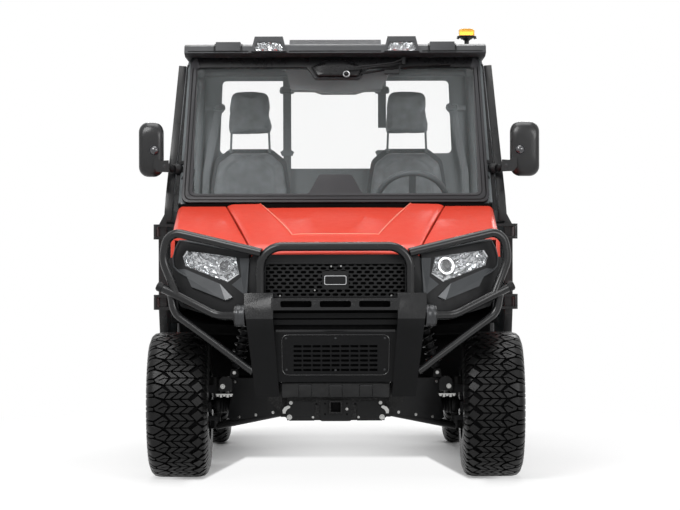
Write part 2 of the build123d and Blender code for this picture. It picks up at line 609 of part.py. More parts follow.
# ---------------------------------------------------------------- bull bar
BAR_Y = NOSE_Y + POST_RAKE + 25.0     # plane of the hoops
HOOP_HALF = 318.0
HOOP_TOP_Z = 1009.0
HOOP_BEND = 92.0
TIP = (757.0, 842.0)
SHOULDER_Z = 717.0
WING_Y = BAR_Y + 45.0
CORNER_Y = BAR_Y + 105.0

with BuildPart() as bull_bar:
    for sign in (1, -1):
        (top_in, top_out), (foot_in, foot_out) = POST_TOP_X, POST_FOOT_X
        front_plate([(sign * x, z) for x, z in ((foot_in, POST_FOOT_Z), (foot_out, POST_FOOT_Z),
                     (top_out, POST_NOSE_Z + 60), (top_out, POST_TOP_Z), (top_in, POST_TOP_Z),
                     (top_in, POST_NOSE_Z))], (NOSE_Y - 10, NOSE_Y + 300))
    nose_back = NOSE_Y + POST_RAKE
    side_plate(((nose_back - 8, POST_TOP_Z), (NOSE_Y, POST_NOSE_Z), (NOSE_Y + 6, POST_NOSE_Z - 60),
                (nose_back - 12, POST_FOOT_Z), (nose_back + POST_DEPTH, POST_FOOT_Z),
                (NOSE_Y + POST_DEPTH + 18, POST_NOSE_Z - 40), (NOSE_Y + POST_DEPTH + 16, POST_NOSE_Z),
                (nose_back + POST_DEPTH - 8, POST_TOP_Z)), (-500, 500), mode=Mode.INTERSECT)
    # brackets back to the frame rails
    for sign in (1, -1):
        brick((sign * (RAIL_IN + 10), sign * (RAIL_OUT - 10)), (nose_back + 20, RAIL_FRONT_Y - RUN),
              (RAIL_Z[0] + 32, RAIL_Z[1] - 2))
    # crossbar with its three vents, and the slotted guard below
    bar_front = NOSE_Y + 14
    brick((-POST_TOP_X[0] - 8, POST_TOP_X[0] + 8), (bar_front, bar_front + CROSSBAR_T), CROSSBAR_Z)
    bar_z = (CROSSBAR_Z[0] + CROSSBAR_Z[1]) / 2
    for step in (-1, 0, 1):
        centre_x = step * VENT_PITCH
        front_plate(((centre_x - VENT_SIZE[0] / 2, bar_z - VENT_SIZE[1] / 2),
                     (centre_x + VENT_SIZE[0] / 2, bar_z - VENT_SIZE[1] / 2),
                     (centre_x + VENT_SIZE[0] / 2, bar_z + VENT_SIZE[1] / 2),
                     (centre_x - VENT_SIZE[0] / 2, bar_z + VENT_SIZE[1] / 2)),
                    (bar_front - 1, bar_front + CROSSBAR_T + 1), 8, Mode.SUBTRACT)
    guard_y = NOSE_Y + 40
    front_plate(((-POST_FOOT_X[0] - 6, GUARD_Z[0]), (POST_FOOT_X[0] + 6, GUARD_Z[0]),
                 (POST_TOP_X[0] + 2, GUARD_Z[1]), (-POST_TOP_X[0] - 2, GUARD_Z[1])),
                (guard_y, guard_y + GUARD_T))
    with BuildSketch(Plane.XZ.offset(-guard_y - GUARD_T)) as guard_slots:
        with Locations((0, (GUARD_Z[0] + GUARD_Z[1]) / 2 - 8)):
            with GridLocations(*SLOT_PITCH, *SLOT_COUNT):
                Rectangle(*SLOT_SIZE)
    extrude(guard_slots.sketch, amount=2 * GUARD_T, mode=Mode.SUBTRACT)
    # central hoop
    foot_z = POST_TOP_Z - 30
    bent_tube(((-HOOP_HALF, BAR_Y, foot_z), (-HOOP_HALF, BAR_Y, HOOP_TOP_Z),
               (HOOP_HALF, BAR_Y, HOOP_TOP_Z), (HOOP_HALF, BAR_Y, foot_z)), HOOP_BEND, BAR_D)
    for sign in (1, -1):
        # outer hoop round the headlamp, from the central hoop down to the shoulder tube
        bent_tube(((sign * (HOOP_HALF - 4), BAR_Y, HOOP_TOP_Z - 26), (sign * 715, CORNER_Y, 1078),
                   (sign * 738, CORNER_Y, 955), (sign * 676, CORNER_Y - 18, 800)), (58, 120), BAR_D)
        # shoulder tube from its free tip in to the collar on the post
        bent_tube(((sign * TIP[0], CORNER_Y, TIP[1]), (sign * 505, WING_Y, SHOULDER_Z),
                   (sign * (POST_TOP_X[1] - 10), BAR_Y - 20, SHOULDER_Z)), 130, BAR_D)
        rod((sign * (POST_TOP_X[1] - 6), BAR_Y - 20, SHOULDER_Z),
            (sign * (POST_TOP_X[1] + 38), BAR_Y - 14, SHOULDER_Z), 92)
        # lower strut
        bent_tube(((sign * 704, CORNER_Y, 812), (sign * 690, CORNER_Y - 4, 726),
                   (sign * (POST_FOOT_X[1] + 10), BAR_Y, 478)), 90, BAR_D - 4)
finish(bull_bar, "bull_bar")

# ---------------------------------------------------------------- bonnet, wings and nose
NOSE_LOW_Z = 700.0


def bonnet_band(front_y, rear_y, top_rise, thickness):
    """The side view of a sheet that follows the bonnet's slope."""
    drop = 22.0
    mid_y = front_y + (rear_y - front_y) * 0.45
    bulge = 9.0
    return ((front_y, bonnet_z(front_y) + top_rise - drop), (front_y + 40, bonnet_z(front_y + 40) + top_rise),
            (mid_y, bonnet_z(mid_y) + top_rise + bulge), (rear_y, bonnet_z(rear_y) + top_rise),
            (rear_y, bonnet_z(rear_y) + top_rise - thickness),
            (mid_y, bonnet_z(mid_y) + top_rise + bulge - thickness),
            (front_y + 44, bonnet_z(front_y + 40) + top_rise - thickness),
            (front_y, bonnet_z(front_y) + top_rise - drop - thickness))


with BuildPart() as hood:
    side_plate(bonnet_band(HOOD_FRONT_Y, COWL_Y, SHOULDER_RISE, PANEL_T + SHOULDER_RISE),
               (-HOOD_REAR_X, HOOD_REAR_X))
    top_plate(((-HOOD_REAR_X, COWL_Y), (-HOOD_FRONT_X, HOOD_FRONT_Y), (HOOD_FRONT_X, HOOD_FRONT_Y),
               (HOOD_REAR_X, COWL_Y)), (900, 1300), mode=Mode.INTERSECT)
    # the sunken middle between the two raised shoulders
    with BuildPart(mode=Mode.PRIVATE) as sunken:
        side_plate(bonnet_band(HOOD_FRONT_Y + 95, COWL_Y + 10, SHOULDER_RISE + 20, 20 + SHOULDER_RISE),
                   (-400, 400))
        top_plate(((-348, COWL_Y + 10), (-190, HOOD_FRONT_Y + 95),
                   (190, HOOD_FRONT_Y + 95), (348, COWL_Y + 10)), (900, 1400), mode=Mode.INTERSECT)
    add(sunken.part, mode=Mode.SUBTRACT)
    # hinge legs down to the cowl tube
    for x in (-320, 320):
        brick((x - 20, x + 20), (COWL_Y - 30, COWL_Y + 48),
              (COWL_TUBE_Z + TUBE_D / 2 + RUN, COWL_TUBE_Z + TUBE_D / 2 + 14))
finish(hood, "hood")

# The nose is cut by a middle plane and a swept corner plane on each side.
corner_normal = Vector(sin(radians(FASCIA_SWEEP)), -cos(radians(FASCIA_SWEEP)), 0.16).normalized()
corner_origin = Vector(FASCIA_CORNER_X, FASCIA_FRONT_Y + 14, 860)


def keep_behind(origin, normal):
    """Trim the piece being built to what lies behind a slanting plane."""
    split(bisect_by=Plane(origin=origin, z_dir=normal), keep=Keep.BOTTOM)


def shut_x(y):
    """The wing's inner edge along the bonnet's shut line."""
    share = (y - HOOD_FRONT_Y) / (COWL_Y - HOOD_FRONT_Y)
    return HOOD_FRONT_X + share * (HOOD_REAR_X - HOOD_FRONT_X) + SHUT


with BuildPart() as front_fenders:
    side_plate(((HOOD_FRONT_Y, bonnet_z(HOOD_FRONT_Y)), (FENDER_REAR_Y, bonnet_z(COWL_Y)),
                (FENDER_REAR_Y, FENDER_LOW_Z), (HOOD_FRONT_Y, FENDER_LOW_Z)), (0, FENDER_X))
    fillet(part_edges_along_y(front_fenders, FENDER_X, 900), 26)
    with BuildPart(mode=Mode.PRIVATE) as under:
        side_plate(((HOOD_FRONT_Y - 1, bonnet_z(HOOD_FRONT_Y) - PANEL_T),
                    (FENDER_REAR_Y + 1, bonnet_z(COWL_Y) - PANEL_T),
                    (FENDER_REAR_Y + 1, FENDER_LOW_Z - 1), (HOOD_FRONT_Y - 1, FENDER_LOW_Z - 1)),
                   (-1, FENDER_X - PANEL_T))
    add(under.part, mode=Mode.SUBTRACT)
    # plan view: shut line inside, lamp surround in front
    top_plate(((shut_x(HOOD_FRONT_Y), HOOD_FRONT_Y), (FENDER_X + 1, HOOD_FRONT_Y),
               (FENDER_X + 1, FENDER_REAR_Y + 1), (shut_x(FENDER_REAR_Y), FENDER_REAR_Y + 1)),
              (600, 1300), mode=Mode.INTERSECT)
    keep_behind(corner_origin - corner_normal * (FASCIA_DEPTH + RUN), corner_normal)
    with BuildSketch(Plane.YZ) as arch:
        with Locations((FRONT_AXLE_Y, AXLE_Z)):
            Circle(ARCH_RADIUS)
    extrude(arch.sketch, amount=FENDER_X + 10, mode=Mode.SUBTRACT)
    mirror(about=Plane.YZ)
finish(front_fenders, "front_fenders")

NOSE_OUTLINE = ((0, 985), (HOOD_FRONT_X + 16, 985), (430, 1040), (676, 1040), (702, 962), (700, 925),
                (684, 868), (680, 785), (664, 752), (540, 716), (424, NOSE_LOW_Z), (0, NOSE_LOW_Z))
LAMP_OUTLINE = ((643, 994), (661, 966), (648, 928), (462, 857), (410, 893), (426, 965), (534, 981))
GRILLE_Z = (798.0, 939.0)
GRILLE_HALF = 300.0


with BuildPart() as front_fascia:
    front_plate(NOSE_OUTLINE, (FASCIA_FRONT_Y, FASCIA_FRONT_Y + 260))
    keep_behind(corner_origin, corner_normal)
    with BuildPart(mode=Mode.PRIVATE) as inside:
        front_plate(((0, 500), (900, 500), (900, 1100), (0, 1100)),
                    (FASCIA_FRONT_Y + FASCIA_DEPTH, FASCIA_FRONT_Y + 400))
        keep_behind(corner_origin - corner_normal * FASCIA_DEPTH, corner_normal)
    add(inside.part, mode=Mode.SUBTRACT)
    # the bonnet and its slope pass over the nose
    ahead_y = FASCIA_FRONT_Y - 50
    side_plate(((ahead_y, bonnet_z(ahead_y)), (FENDER_REAR_Y, bonnet_z(FENDER_REAR_Y)),
                (FENDER_REAR_Y, 1400), (ahead_y, 1400)), (0, 900), mode=Mode.SUBTRACT)
    side_plate(((HOOD_FRONT_Y - 4, 1300), (HOOD_FRONT_Y - 4, bonnet_z(HOOD_FRONT_Y) - 46),
                (COWL_Y, bonnet_z(COWL_Y) - 30), (COWL_Y, 1300)),
               (0, HOOD_FRONT_X + 12), mode=Mode.SUBTRACT)
    front_plate(LAMP_OUTLINE, (FASCIA_FRONT_Y - 10, FASCIA_FRONT_Y + 300), mode=Mode.SUBTRACT)
    mirror(about=Plane.YZ)
    brick((-GRILLE_HALF, GRILLE_HALF), (FASCIA_FRONT_Y - 1, FASCIA_FRONT_Y + FASCIA_DEPTH + 1),
          GRILLE_Z, Mode.SUBTRACT)
finish(front_fascia, "front_fascia")

GRILLE_BAR = 6.0
GRILLE_PITCH = (66.0, 15.6)
with BuildPart() as grille_mesh:
    panel_y = (FASCIA_FRONT_Y + 14, FASCIA_FRONT_Y + 22)
    brick((-GRILLE_HALF + RUN, GRILLE_HALF - RUN), panel_y, (GRILLE_Z[0] + RUN, GRILLE_Z[1] - RUN))
    with BuildSketch(Plane.XZ.offset(-panel_y[1] - 1)) as cells:
        with Locations((0, (GRILLE_Z[0] + GRILLE_Z[1]) / 2)):
            with GridLocations(*GRILLE_PITCH, 9, 8):
                Rectangle(GRILLE_PITCH[0] - GRILLE_BAR, GRILLE_PITCH[1] - GRILLE_BAR)
    extrude(cells.sketch, amount=12, mode=Mode.SUBTRACT)
    brick((-34, 34), (panel_y[0] - 8, panel_y[0] + 2), (820, 890))
finish(grille_mesh, "grille_mesh")

with BuildPart() as headlamps:
    with BuildSketch(Plane.XZ.offset(-FASCIA_FRONT_Y - 300)) as lamp_face:
        with BuildLine():
            Polyline(*LAMP_OUTLINE, close=True)
        make_face()
        offset(amount=-RUN)
    extrude(lamp_face.sketch, amount=310)
    keep_behind(corner_origin - corner_normal * 5, corner_normal)
    lamp_back = Plane(origin=corner_origin - corner_normal * LAMP_DEPTH, z_dir=corner_normal)
    split(bisect_by=lamp_back, keep=Keep.TOP)
    mirror(about=Plane.YZ)
finish(headlamps, "headlamps")

# ---------------------------------------------------------------- cab
LEAN = Vector(0, PILLAR_HEAD[1] - PILLAR_FOOT[1], PILLAR_HEAD[2] - PILLAR_FOOT[2]).normalized()
SCREEN_OUT = Vector(0, -LEAN.Z, LEAN.Y)
screen_origin = Vector(0, PILLAR_FOOT[1], PILLAR_FOOT[2]) + SCREEN_OUT * (TUBE_D / 2 + RUN)
SCREEN_PLANE = Plane(origin=screen_origin, x_dir=(1, 0, 0), z_dir=SCREEN_OUT)

with BuildPart() as cab_floor:
    floor_z = (CAB_FLOOR_Z, CAB_FLOOR_Z + FLOOR_T)
    brick((-FLOOR_HALF, FLOOR_HALF), (FLOOR_FRONT_Y, B_PILLAR_Y + TUBE_D / 2), floor_z)
    brick((-FLOOR_HALF, FLOOR_HALF), (FLOOR_FRONT_Y, FLOOR_FRONT_Y + BOX_WALL), (CAB_FLOOR_Z, DASH_LOW_Z))
    seat_y = (SEAT_BOX_FRONT_Y, B_PILLAR_Y - TUBE_D / 2 - 5)
    brick((-FLOOR_HALF, FLOOR_HALF), seat_y, (floor_z[1], SEAT_BOX_Z))
    brick((-FLOOR_HALF + BOX_WALL, FLOOR_HALF - BOX_WALL), (seat_y[0] + BOX_WALL, seat_y[1] - BOX_WALL),
          (floor_z[1], SEAT_BOX_Z - BOX_WALL), Mode.SUBTRACT)
    for sign in (1, -1):
        brick((sign * FLOOR_HALF, sign * SILL_X[1]), (FLOOR_FRONT_Y + 14, B_PILLAR_Y + 20), SILL_Z)
finish(cab_floor, "cab_floor")

foot_x, foot_y, foot_z = PILLAR_FOOT
head_x, head_y, head_z = PILLAR_HEAD
with BuildPart() as cab_frame:
    post_foot_z = SILL_Z[1] + RUN
    for sign in (1, -1):
        bent_tube(((sign * foot_x, foot_y, post_foot_z), (sign * foot_x, foot_y, foot_z),
                   (sign * head_x, head_y, head_z), (sign * head_x, B_PILLAR_Y, head_z),
                   (sign * foot_x, B_PILLAR_Y, foot_z - 40), (sign * foot_x, B_PILLAR_Y, post_foot_z)),
                  (60, 90, 80, 200), TUBE_D)
        rod((0, foot_y, COWL_TUBE_Z), (sign * foot_x, foot_y, COWL_TUBE_Z), TUBE_D)
        rod((0, head_y + 40, head_z), (sign * head_x, head_y + 40, head_z), TUBE_D - 10)
        rod((0, B_PILLAR_Y - 55, head_z), (sign * head_x, B_PILLAR_Y - 55, head_z), TUBE_D - 10)
        rod((0, B_PILLAR_Y, BELT_Z), (sign * foot_x, B_PILLAR_Y, BELT_Z), TUBE_D - 10)
        # hinge lugs with their pins, in front of the door
        for z in HINGE_ZS:
            for end in (1, -1):
                low = z + end * (HINGE_LENGTH / 2 + RUN)
                rod((sign * HINGE_X, HINGE_Y, low), (sign * HINGE_X, HINGE_Y, low + end * HINGE_LUG), HINGE_D)
                top_plate(((sign * (foot_x + 10), HINGE_Y - 8), (sign * HINGE_X, HINGE_Y - 12),
                           (sign * HINGE_X, HINGE_Y + 6), (sign * (foot_x + 10), HINGE_Y + 10)),
                          (low, low + end * HINGE_LUG))
            rod((sign * HINGE_X, HINGE_Y, z - HINGE_LENGTH / 2 - HINGE_LUG),
                (sign * HINGE_X, HINGE_Y, z + HINGE_LENGTH / 2 + HINGE_LUG), HINGE_PIN_D)
finish(cab_frame, "cab_frame")

ROOF_UNDER_Z = PILLAR_HEAD[2] + TUBE_D / 2 + RUN
POD_X = 308.0
POD_HALF = 87.0              # at the roof's lower edge
POD_TOP_HALF = 65.0
POD_LENS_HALF = (70.0, 54.0)


def pod_lens(sign, inset):
    """Front view of a pod's lens, drawn in by inset on every side."""
    low_half, high_half = POD_LENS_HALF[0] - inset, POD_LENS_HALF[1] - inset
    low_z, high_z = POD_LENS_Z[0] + inset, POD_LENS_Z[1] - inset
    outline = ((-low_half, low_z), (low_half, low_z), (high_half, high_z), (-high_half, high_z))
    return [(sign * (POD_X + x), z) for x, z in outline]


with BuildPart() as roof:
    side_plate(((ROOF_FRONT_Y, ROOF_UNDER_Z + 14), (ROOF_FRONT_Y + 16, ROOF_EDGE_Z - 12),
                (ROOF_FRONT_Y + 60, ROOF_EDGE_Z), (ROOF_REAR_Y - 30, ROOF_EDGE_Z), (ROOF_REAR_Y, ROOF_EDGE_Z - 24),
                (ROOF_REAR_Y, ROOF_UNDER_Z), (ROOF_FRONT_Y + 70, ROOF_UNDER_Z)), (-ROOF_HALF, ROOF_HALF))
    # raised middle, side ribs and the two lamp pods
    pod_top_z = ROOF_EDGE_Z + 33
    side_plate(((ROOF_FRONT_Y + 120, ROOF_EDGE_Z - 10), (ROOF_FRONT_Y + 200, ROOF_TOP_Z - 12),
                (ROOF_FRONT_Y + 380, ROOF_TOP_Z), (ROOF_REAR_Y - 220, ROOF_TOP_Z),
                (ROOF_REAR_Y - 60, ROOF_EDGE_Z - 10)), (-215, 215))
    for sign in (1, -1):
        side_plate(((ROOF_FRONT_Y - 4, ROOF_EDGE_Z - 34), (ROOF_FRONT_Y + 12, ROOF_EDGE_Z + 8),
                    (ROOF_REAR_Y - 40, ROOF_EDGE_Z + 8), (ROOF_REAR_Y - 8, ROOF_EDGE_Z - 30)),
                   (sign * 440, sign * 554))
        with BuildPart(mode=Mode.PRIVATE) as pod:
            side_plate(((ROOF_FRONT_Y - 14, ROOF_UNDER_Z + 20), (ROOF_FRONT_Y + 10, pod_top_z),
                        (ROOF_FRONT_Y + 110, ROOF_EDGE_Z + 26), (ROOF_FRONT_Y + 260, ROOF_EDGE_Z - 8),
                        (ROOF_FRONT_Y + 60, ROOF_UNDER_Z + 14)),
                       (sign * (POD_X - POD_HALF), sign * (POD_X + POD_HALF)))
            front_plate([(sign * (POD_X + x), z) for x, z in (
                (-POD_HALF, ROOF_UNDER_Z), (POD_HALF, ROOF_UNDER_Z),
                (POD_TOP_HALF, pod_top_z), (-POD_TOP_HALF, pod_top_z))],
                (ROOF_FRONT_Y - 20, ROOF_FRONT_Y + 270), mode=Mode.INTERSECT)
        add(pod.part)
        front_plate(pod_lens(sign, 0), (ROOF_FRONT_Y - 20, ROOF_FRONT_Y + 34), mode=Mode.SUBTRACT)
finish(roof, "roof")

with BuildPart() as roof_lamps:
    for sign in (1, -1):
        front_plate(pod_lens(sign, RUN), (ROOF_FRONT_Y + 4, ROOF_FRONT_Y + 33))
finish(roof_lamps, "roof_lamps")

# windscreen: x and height up the slope
SCREEN_EDGE = ((-700, 4), (700, 4), (672, SCREEN_HEIGHT), (-672, SCREEN_HEIGHT))
SCREEN_TOP = SCREEN_HEIGHT - 51
SCREEN_HOLE = ((-650, 48), (-122, 48), (-74, 146), (74, 146), (122, 48), (650, 48), (640, SCREEN_TOP),
               (150, SCREEN_TOP), (115, SCREEN_TOP - 60), (-95, SCREEN_TOP - 60), (-130, SCREEN_TOP),
               (-640, SCREEN_TOP))
with BuildPart() as windscreen_surround:
    prism(SCREEN_EDGE, SCREEN_PLANE, SCREEN_T, 36)
    prism(SCREEN_HOLE, SCREEN_PLANE, SCREEN_T, 20, Mode.SUBTRACT)
finish(windscreen_surround, "windscreen_surround")

with BuildPart() as windscreen_glass:
    with BuildSketch(SCREEN_PLANE.offset((SCREEN_T - GLASS_T) / 2)) as pane:
        with BuildLine():
            Polyline(*SCREEN_HOLE, close=True)
        make_face()
        fillet(pane.vertices(), 20)
        offset(amount=-RUN)
    extrude(pane.sketch, amount=GLASS_T)
finish(windscreen_glass, "windscreen_glass")

WIPER_PIVOT = (52.0, SCREEN_HEIGHT - 100)
with BuildPart() as wiper:
    wiper_plane = SCREEN_PLANE.offset(SCREEN_T + RUN)
    with BuildSketch(wiper_plane) as motor_cover:
        with BuildLine():
            Polyline((-120, SCREEN_TOP), (-90, SCREEN_TOP - 56), (108, SCREEN_TOP - 56), (138, SCREEN_TOP),
                     close=True)
        make_face()
    extrude(motor_cover.sketch, amount=16)
    with BuildSketch(wiper_plane.offset(15)) as spindle:
        with Locations(WIPER_PIVOT):
            Circle(15)
    extrude(spindle.sketch, amount=16)
    pivot_x, pivot_rise = WIPER_PIVOT
    for shift in (0, 16):
        arm_rise = pivot_rise + shift
        prism(((pivot_x, arm_rise - 3), (pivot_x + 290, arm_rise + 38),
               (pivot_x + 290, arm_rise + 46), (pivot_x, arm_rise + 5)), wiper_plane.offset(22), 6)
    prism(((pivot_x + 20, pivot_rise - 2), (pivot_x + 390, pivot_rise + 60),
           (pivot_x + 388, pivot_rise + 72), (pivot_x + 18, pivot_rise + 10)), wiper_plane.offset(6), 18)
finish(wiper, "wiper")

WALL_Y = B_PILLAR_Y + TUBE_D / 2 + RUN
WALL_HOLE = ((-575, 1477), (-330, 1477), (-290, 1402), (290, 1402), (330, 1477), (575, 1477),
             (560, 1837), (-560, 1837))
with BuildPart() as rear_wall:
    wall_low, wall_high = CAB_FLOOR_Z + FLOOR_T + RUN, ROOF_UNDER_Z - RUN
    front_plate(((-REAR_WALL_HALF, wall_low), (REAR_WALL_HALF, wall_low), (REAR_WALL_HALF, 1180),
                 (WALL_TOP_HALF, wall_high), (-WALL_TOP_HALF, wall_high), (-REAR_WALL_HALF, 1180)),
                (WALL_Y, WALL_Y + WALL_T), 20)
    front_plate(WALL_HOLE, (WALL_Y - 1, WALL_Y + WALL_T + 1), 22, Mode.SUBTRACT)
finish(rear_wall, "rear_wall")

with BuildPart() as rear_glass:
    with BuildSketch(Plane.XZ.offset(-WALL_Y - WALL_T + 6)) as rear_pane:
        with BuildLine():
            Polyline(*WALL_HOLE, close=True)
        make_face()
        fillet(rear_pane.vertices(), 22)
        offset(amount=-RUN)
    extrude(rear_pane.sketch, amount=GLASS_T)
finish(rear_glass, "rear_glass")

column_axis = Vector(0, cos(radians(COLUMN_ANGLE)), sin(radians(COLUMN_ANGLE)))
wheel_centre = Vector(*WHEEL_CENTRE)
DASH_Y = (FLOOR_FRONT_Y + BOX_WALL + RUN, FLOOR_FRONT_Y + 190)
with BuildPart() as dashboard:
    side_plate(((DASH_Y[0], DASH_LOW_Z), (DASH_Y[0] - 10, COWL_Z - 10), (DASH_Y[0] + 60, COWL_Z + 24),
                (DASH_Y[1] - 30, COWL_Z + 18), (DASH_Y[1], COWL_Z - 60), (DASH_Y[1] - 50, DASH_LOW_Z - 60),
                (DASH_Y[0], DASH_LOW_Z - 60)), (-640, 640))
    hub_foot = wheel_centre - column_axis * 60
    rod(tuple(wheel_centre - column_axis * 260), tuple(hub_foot), 64)
    turned(((-RUN - 64, 0), (-RUN, 0), (-RUN, 26), (-RUN - 64, 34)), tuple(wheel_centre - column_axis * 20),
           tuple(column_axis))
finish(dashboard, "dashboard")

with BuildPart() as steering_wheel:
    wheel_plane = Plane(origin=wheel_centre, x_dir=(1, 0, 0), z_dir=column_axis)
    with BuildSketch(Plane(origin=wheel_centre + Vector(STEER_WHEEL_D / 2 - STEER_RIM_D / 2, 0, 0),
                           x_dir=(1, 0, 0), z_dir=wheel_plane.y_dir)) as rim_section:
        Circle(STEER_RIM_D / 2)
    revolve(rim_section.sketch, axis=Axis(tuple(wheel_centre), tuple(column_axis)))
    with BuildSketch(wheel_plane.offset(-20 + RUN)) as boss:
        Circle(46)
    extrude(boss.sketch, amount=36)
    spoke_length = STEER_WHEEL_D / 2 - STEER_RIM_D / 2
    spokes = [wheel_plane.location * Location((0, 0, 0), (0, 0, turn)) * Location((spoke_length / 2, 0, -4))
              for turn in (-90, 20, 160)]
    with Locations(*spokes):
        Box(spoke_length, 32, 14)
finish(steering_wheel, "steering_wheel")

with BuildPart() as seat_cushions:
    for seat_x in SEAT_XS:
        side_plate(((SEAT_BOX_FRONT_Y - 40, SEAT_BOX_Z + RUN), (SEAT_BOX_FRONT_Y - 60, SEAT_TOP_Z - 30),
                    (SEAT_BOX_FRONT_Y - 20, SEAT_TOP_Z), (B_PILLAR_Y - 110, SEAT_TOP_Z - 30),
                    (B_PILLAR_Y - 60, SEAT_BOX_Z + RUN)),
                   (seat_x - SEAT_WIDTH / 2, seat_x + SEAT_WIDTH / 2), 14)
finish(seat_cushions, "seat_cushions")

BACK_Y = (B_PILLAR_Y - 130, B_PILLAR_Y - 20 - RUN)
with BuildPart() as seat_backs:
    for seat_x in SEAT_XS:
        half = SEAT_WIDTH / 2 - 15
        back_form = ((half, SEAT_TOP_Z + 8), (half, 1300), (half - 50, 1440), (90, SEAT_BACK_TOP_Z))
        front_plate([(seat_x + x, z) for x, z in back_form]
                    + [(seat_x - x, z) for x, z in reversed(back_form)], BACK_Y, 30)
finish(seat_backs, "seat_backs")

HEAD_Y = (B_PILLAR_Y - 120, B_PILLAR_Y - 50)
with BuildPart() as headrests:
    for seat_x in SEAT_XS:
        half = HEADREST_WIDTH / 2
        low, high = HEADREST_Z
        head_form = ((half - 8, low), (half, low + 70), (half - 14, high))
        front_plate([(seat_x + x, z) for x, z in head_form]
                    + [(seat_x - x, z) for x, z in reversed(head_form)], HEAD_Y, 30)
        for sign in (1, -1):
            post_x = seat_x + sign * (half - 6)
            rod((post_x, HEAD_Y[1] - 22, SEAT_BACK_TOP_Z - 2.9),
                (post_x - sign * 10, HEAD_Y[1] - 22, low + 60), 12)
finish(headrests, "headrests")


def pillar_x(z):
    """The B-pillar's centre line at a height above its bend."""
    return foot_x - (z - foot_z + 40) / (head_z - foot_z + 40) * (foot_x - head_x)


BELT_RING = (575.0, 1700.0)   # x, z
BELT_T = 3.0
with BuildPart() as seat_belts:
    belt_y = B_PILLAR_Y - 20 - RUN - BELT_T
    ring_x, ring_z = BELT_RING
    for sign in (1, -1):
        rod((sign * ring_x, belt_y, ring_z), (sign * ring_x, belt_y + 16, ring_z), 54)
        brick((sign * ring_x, sign * (pillar_x(ring_z) - TUBE_D / 2 - RUN)), (B_PILLAR_Y - 6, B_PILLAR_Y),
              (ring_z - 12, ring_z + 12))
        front_plate([(sign * x, z) for x, z in ((634, 1010), (668, 1010), (656, 1380), (596, ring_z),
                     (556, ring_z), (622, 1380))],
                    (belt_y, belt_y + BELT_T))
        brick((sign * 636, sign * (foot_x - TUBE_D / 2 - RUN)), (belt_y, WALL_Y - RUN), (912, 1012))
    for x, low_z in ((-239, 1468), (229, 1600)):
        brick((x - 20, x + 20), (B_PILLAR_Y - 39, B_PILLAR_Y - 36), (low_z, head_z - 12 - RUN))
        brick((x - 28, x + 28), (B_PILLAR_Y - 39, B_PILLAR_Y - 29), (1772, 1800))
finish(seat_belts, "seat_belts")

with BuildPart() as overhead_console:
    front_plate(((-272, 1768), (262, 1768), (330, 1840), (330, ROOF_UNDER_Z - RUN),
                 (-330, ROOF_UNDER_Z - RUN), (-330, 1840)), (head_y + 70, head_y + 250))
    brick((-112, 112), (head_y + 56, head_y + 70), (1726, 1772))
finish(overhead_console, "overhead_console")

MIRROR_SHELLS = ((1, 857.0, 132.0), (-1, 833.0, 112.0))
MIRROR_Z = (1328.0, 1576.0)
MIRROR_Y = COWL_Y - 22.0
MIRROR_ARM_Z = 1368.0
MIRROR_ARM_RUN = Vector(0.816, -0.578, 0)


def pillar_at(z):
    """A point on the left A-pillar's centre line."""
    share = (z - foot_z) / (head_z - foot_z)
    return Vector(foot_x + share * (head_x - foot_x), foot_y + share * (head_y - foot_y), z)


with BuildPart() as side_mirrors:
    for sign, centre_x, width in MIRROR_SHELLS:
        x_in, x_out = sign * (centre_x - width / 2), sign * (centre_x + width / 2)
        brick((x_in, x_out), (MIRROR_Y - 34, MIRROR_Y + 34), MIRROR_Z)
        start = pillar_at(MIRROR_ARM_Z) + MIRROR_ARM_RUN * (TUBE_D / 2 + 6)
        elbow = start + MIRROR_ARM_RUN * 48
        rod((sign * start.X, start.Y, start.Z), (sign * elbow.X, elbow.Y, elbow.Z), 34)
        rod((sign * (elbow.X - 4), elbow.Y + 3, elbow.Z), (sign * (centre_x - 10), MIRROR_Y, elbow.Z), 26)
finish(side_mirrors, "side_mirrors")

BEACON_X, BEACON_Y = 655.0, ROOF_REAR_Y + 24.0
with BuildPart() as beacon:
    brick((BEACON_X - 22, BEACON_X + 22), (ROOF_REAR_Y + RUN, BEACON_Y + 22),
          (ROOF_UNDER_Z + 8, ROOF_UNDER_Z + 20))
    rod((BEACON_X, BEACON_Y, ROOF_UNDER_Z + 10), (BEACON_X, BEACON_Y, 2056), 20)
    rod((BEACON_X, BEACON_Y, 2056), (BEACON_X, BEACON_Y, 2070), 98)
    rod((BEACON_X, BEACON_Y, 2070), (BEACON_X, BEACON_Y, 2100), 80)
finish(beacon, "beacon")

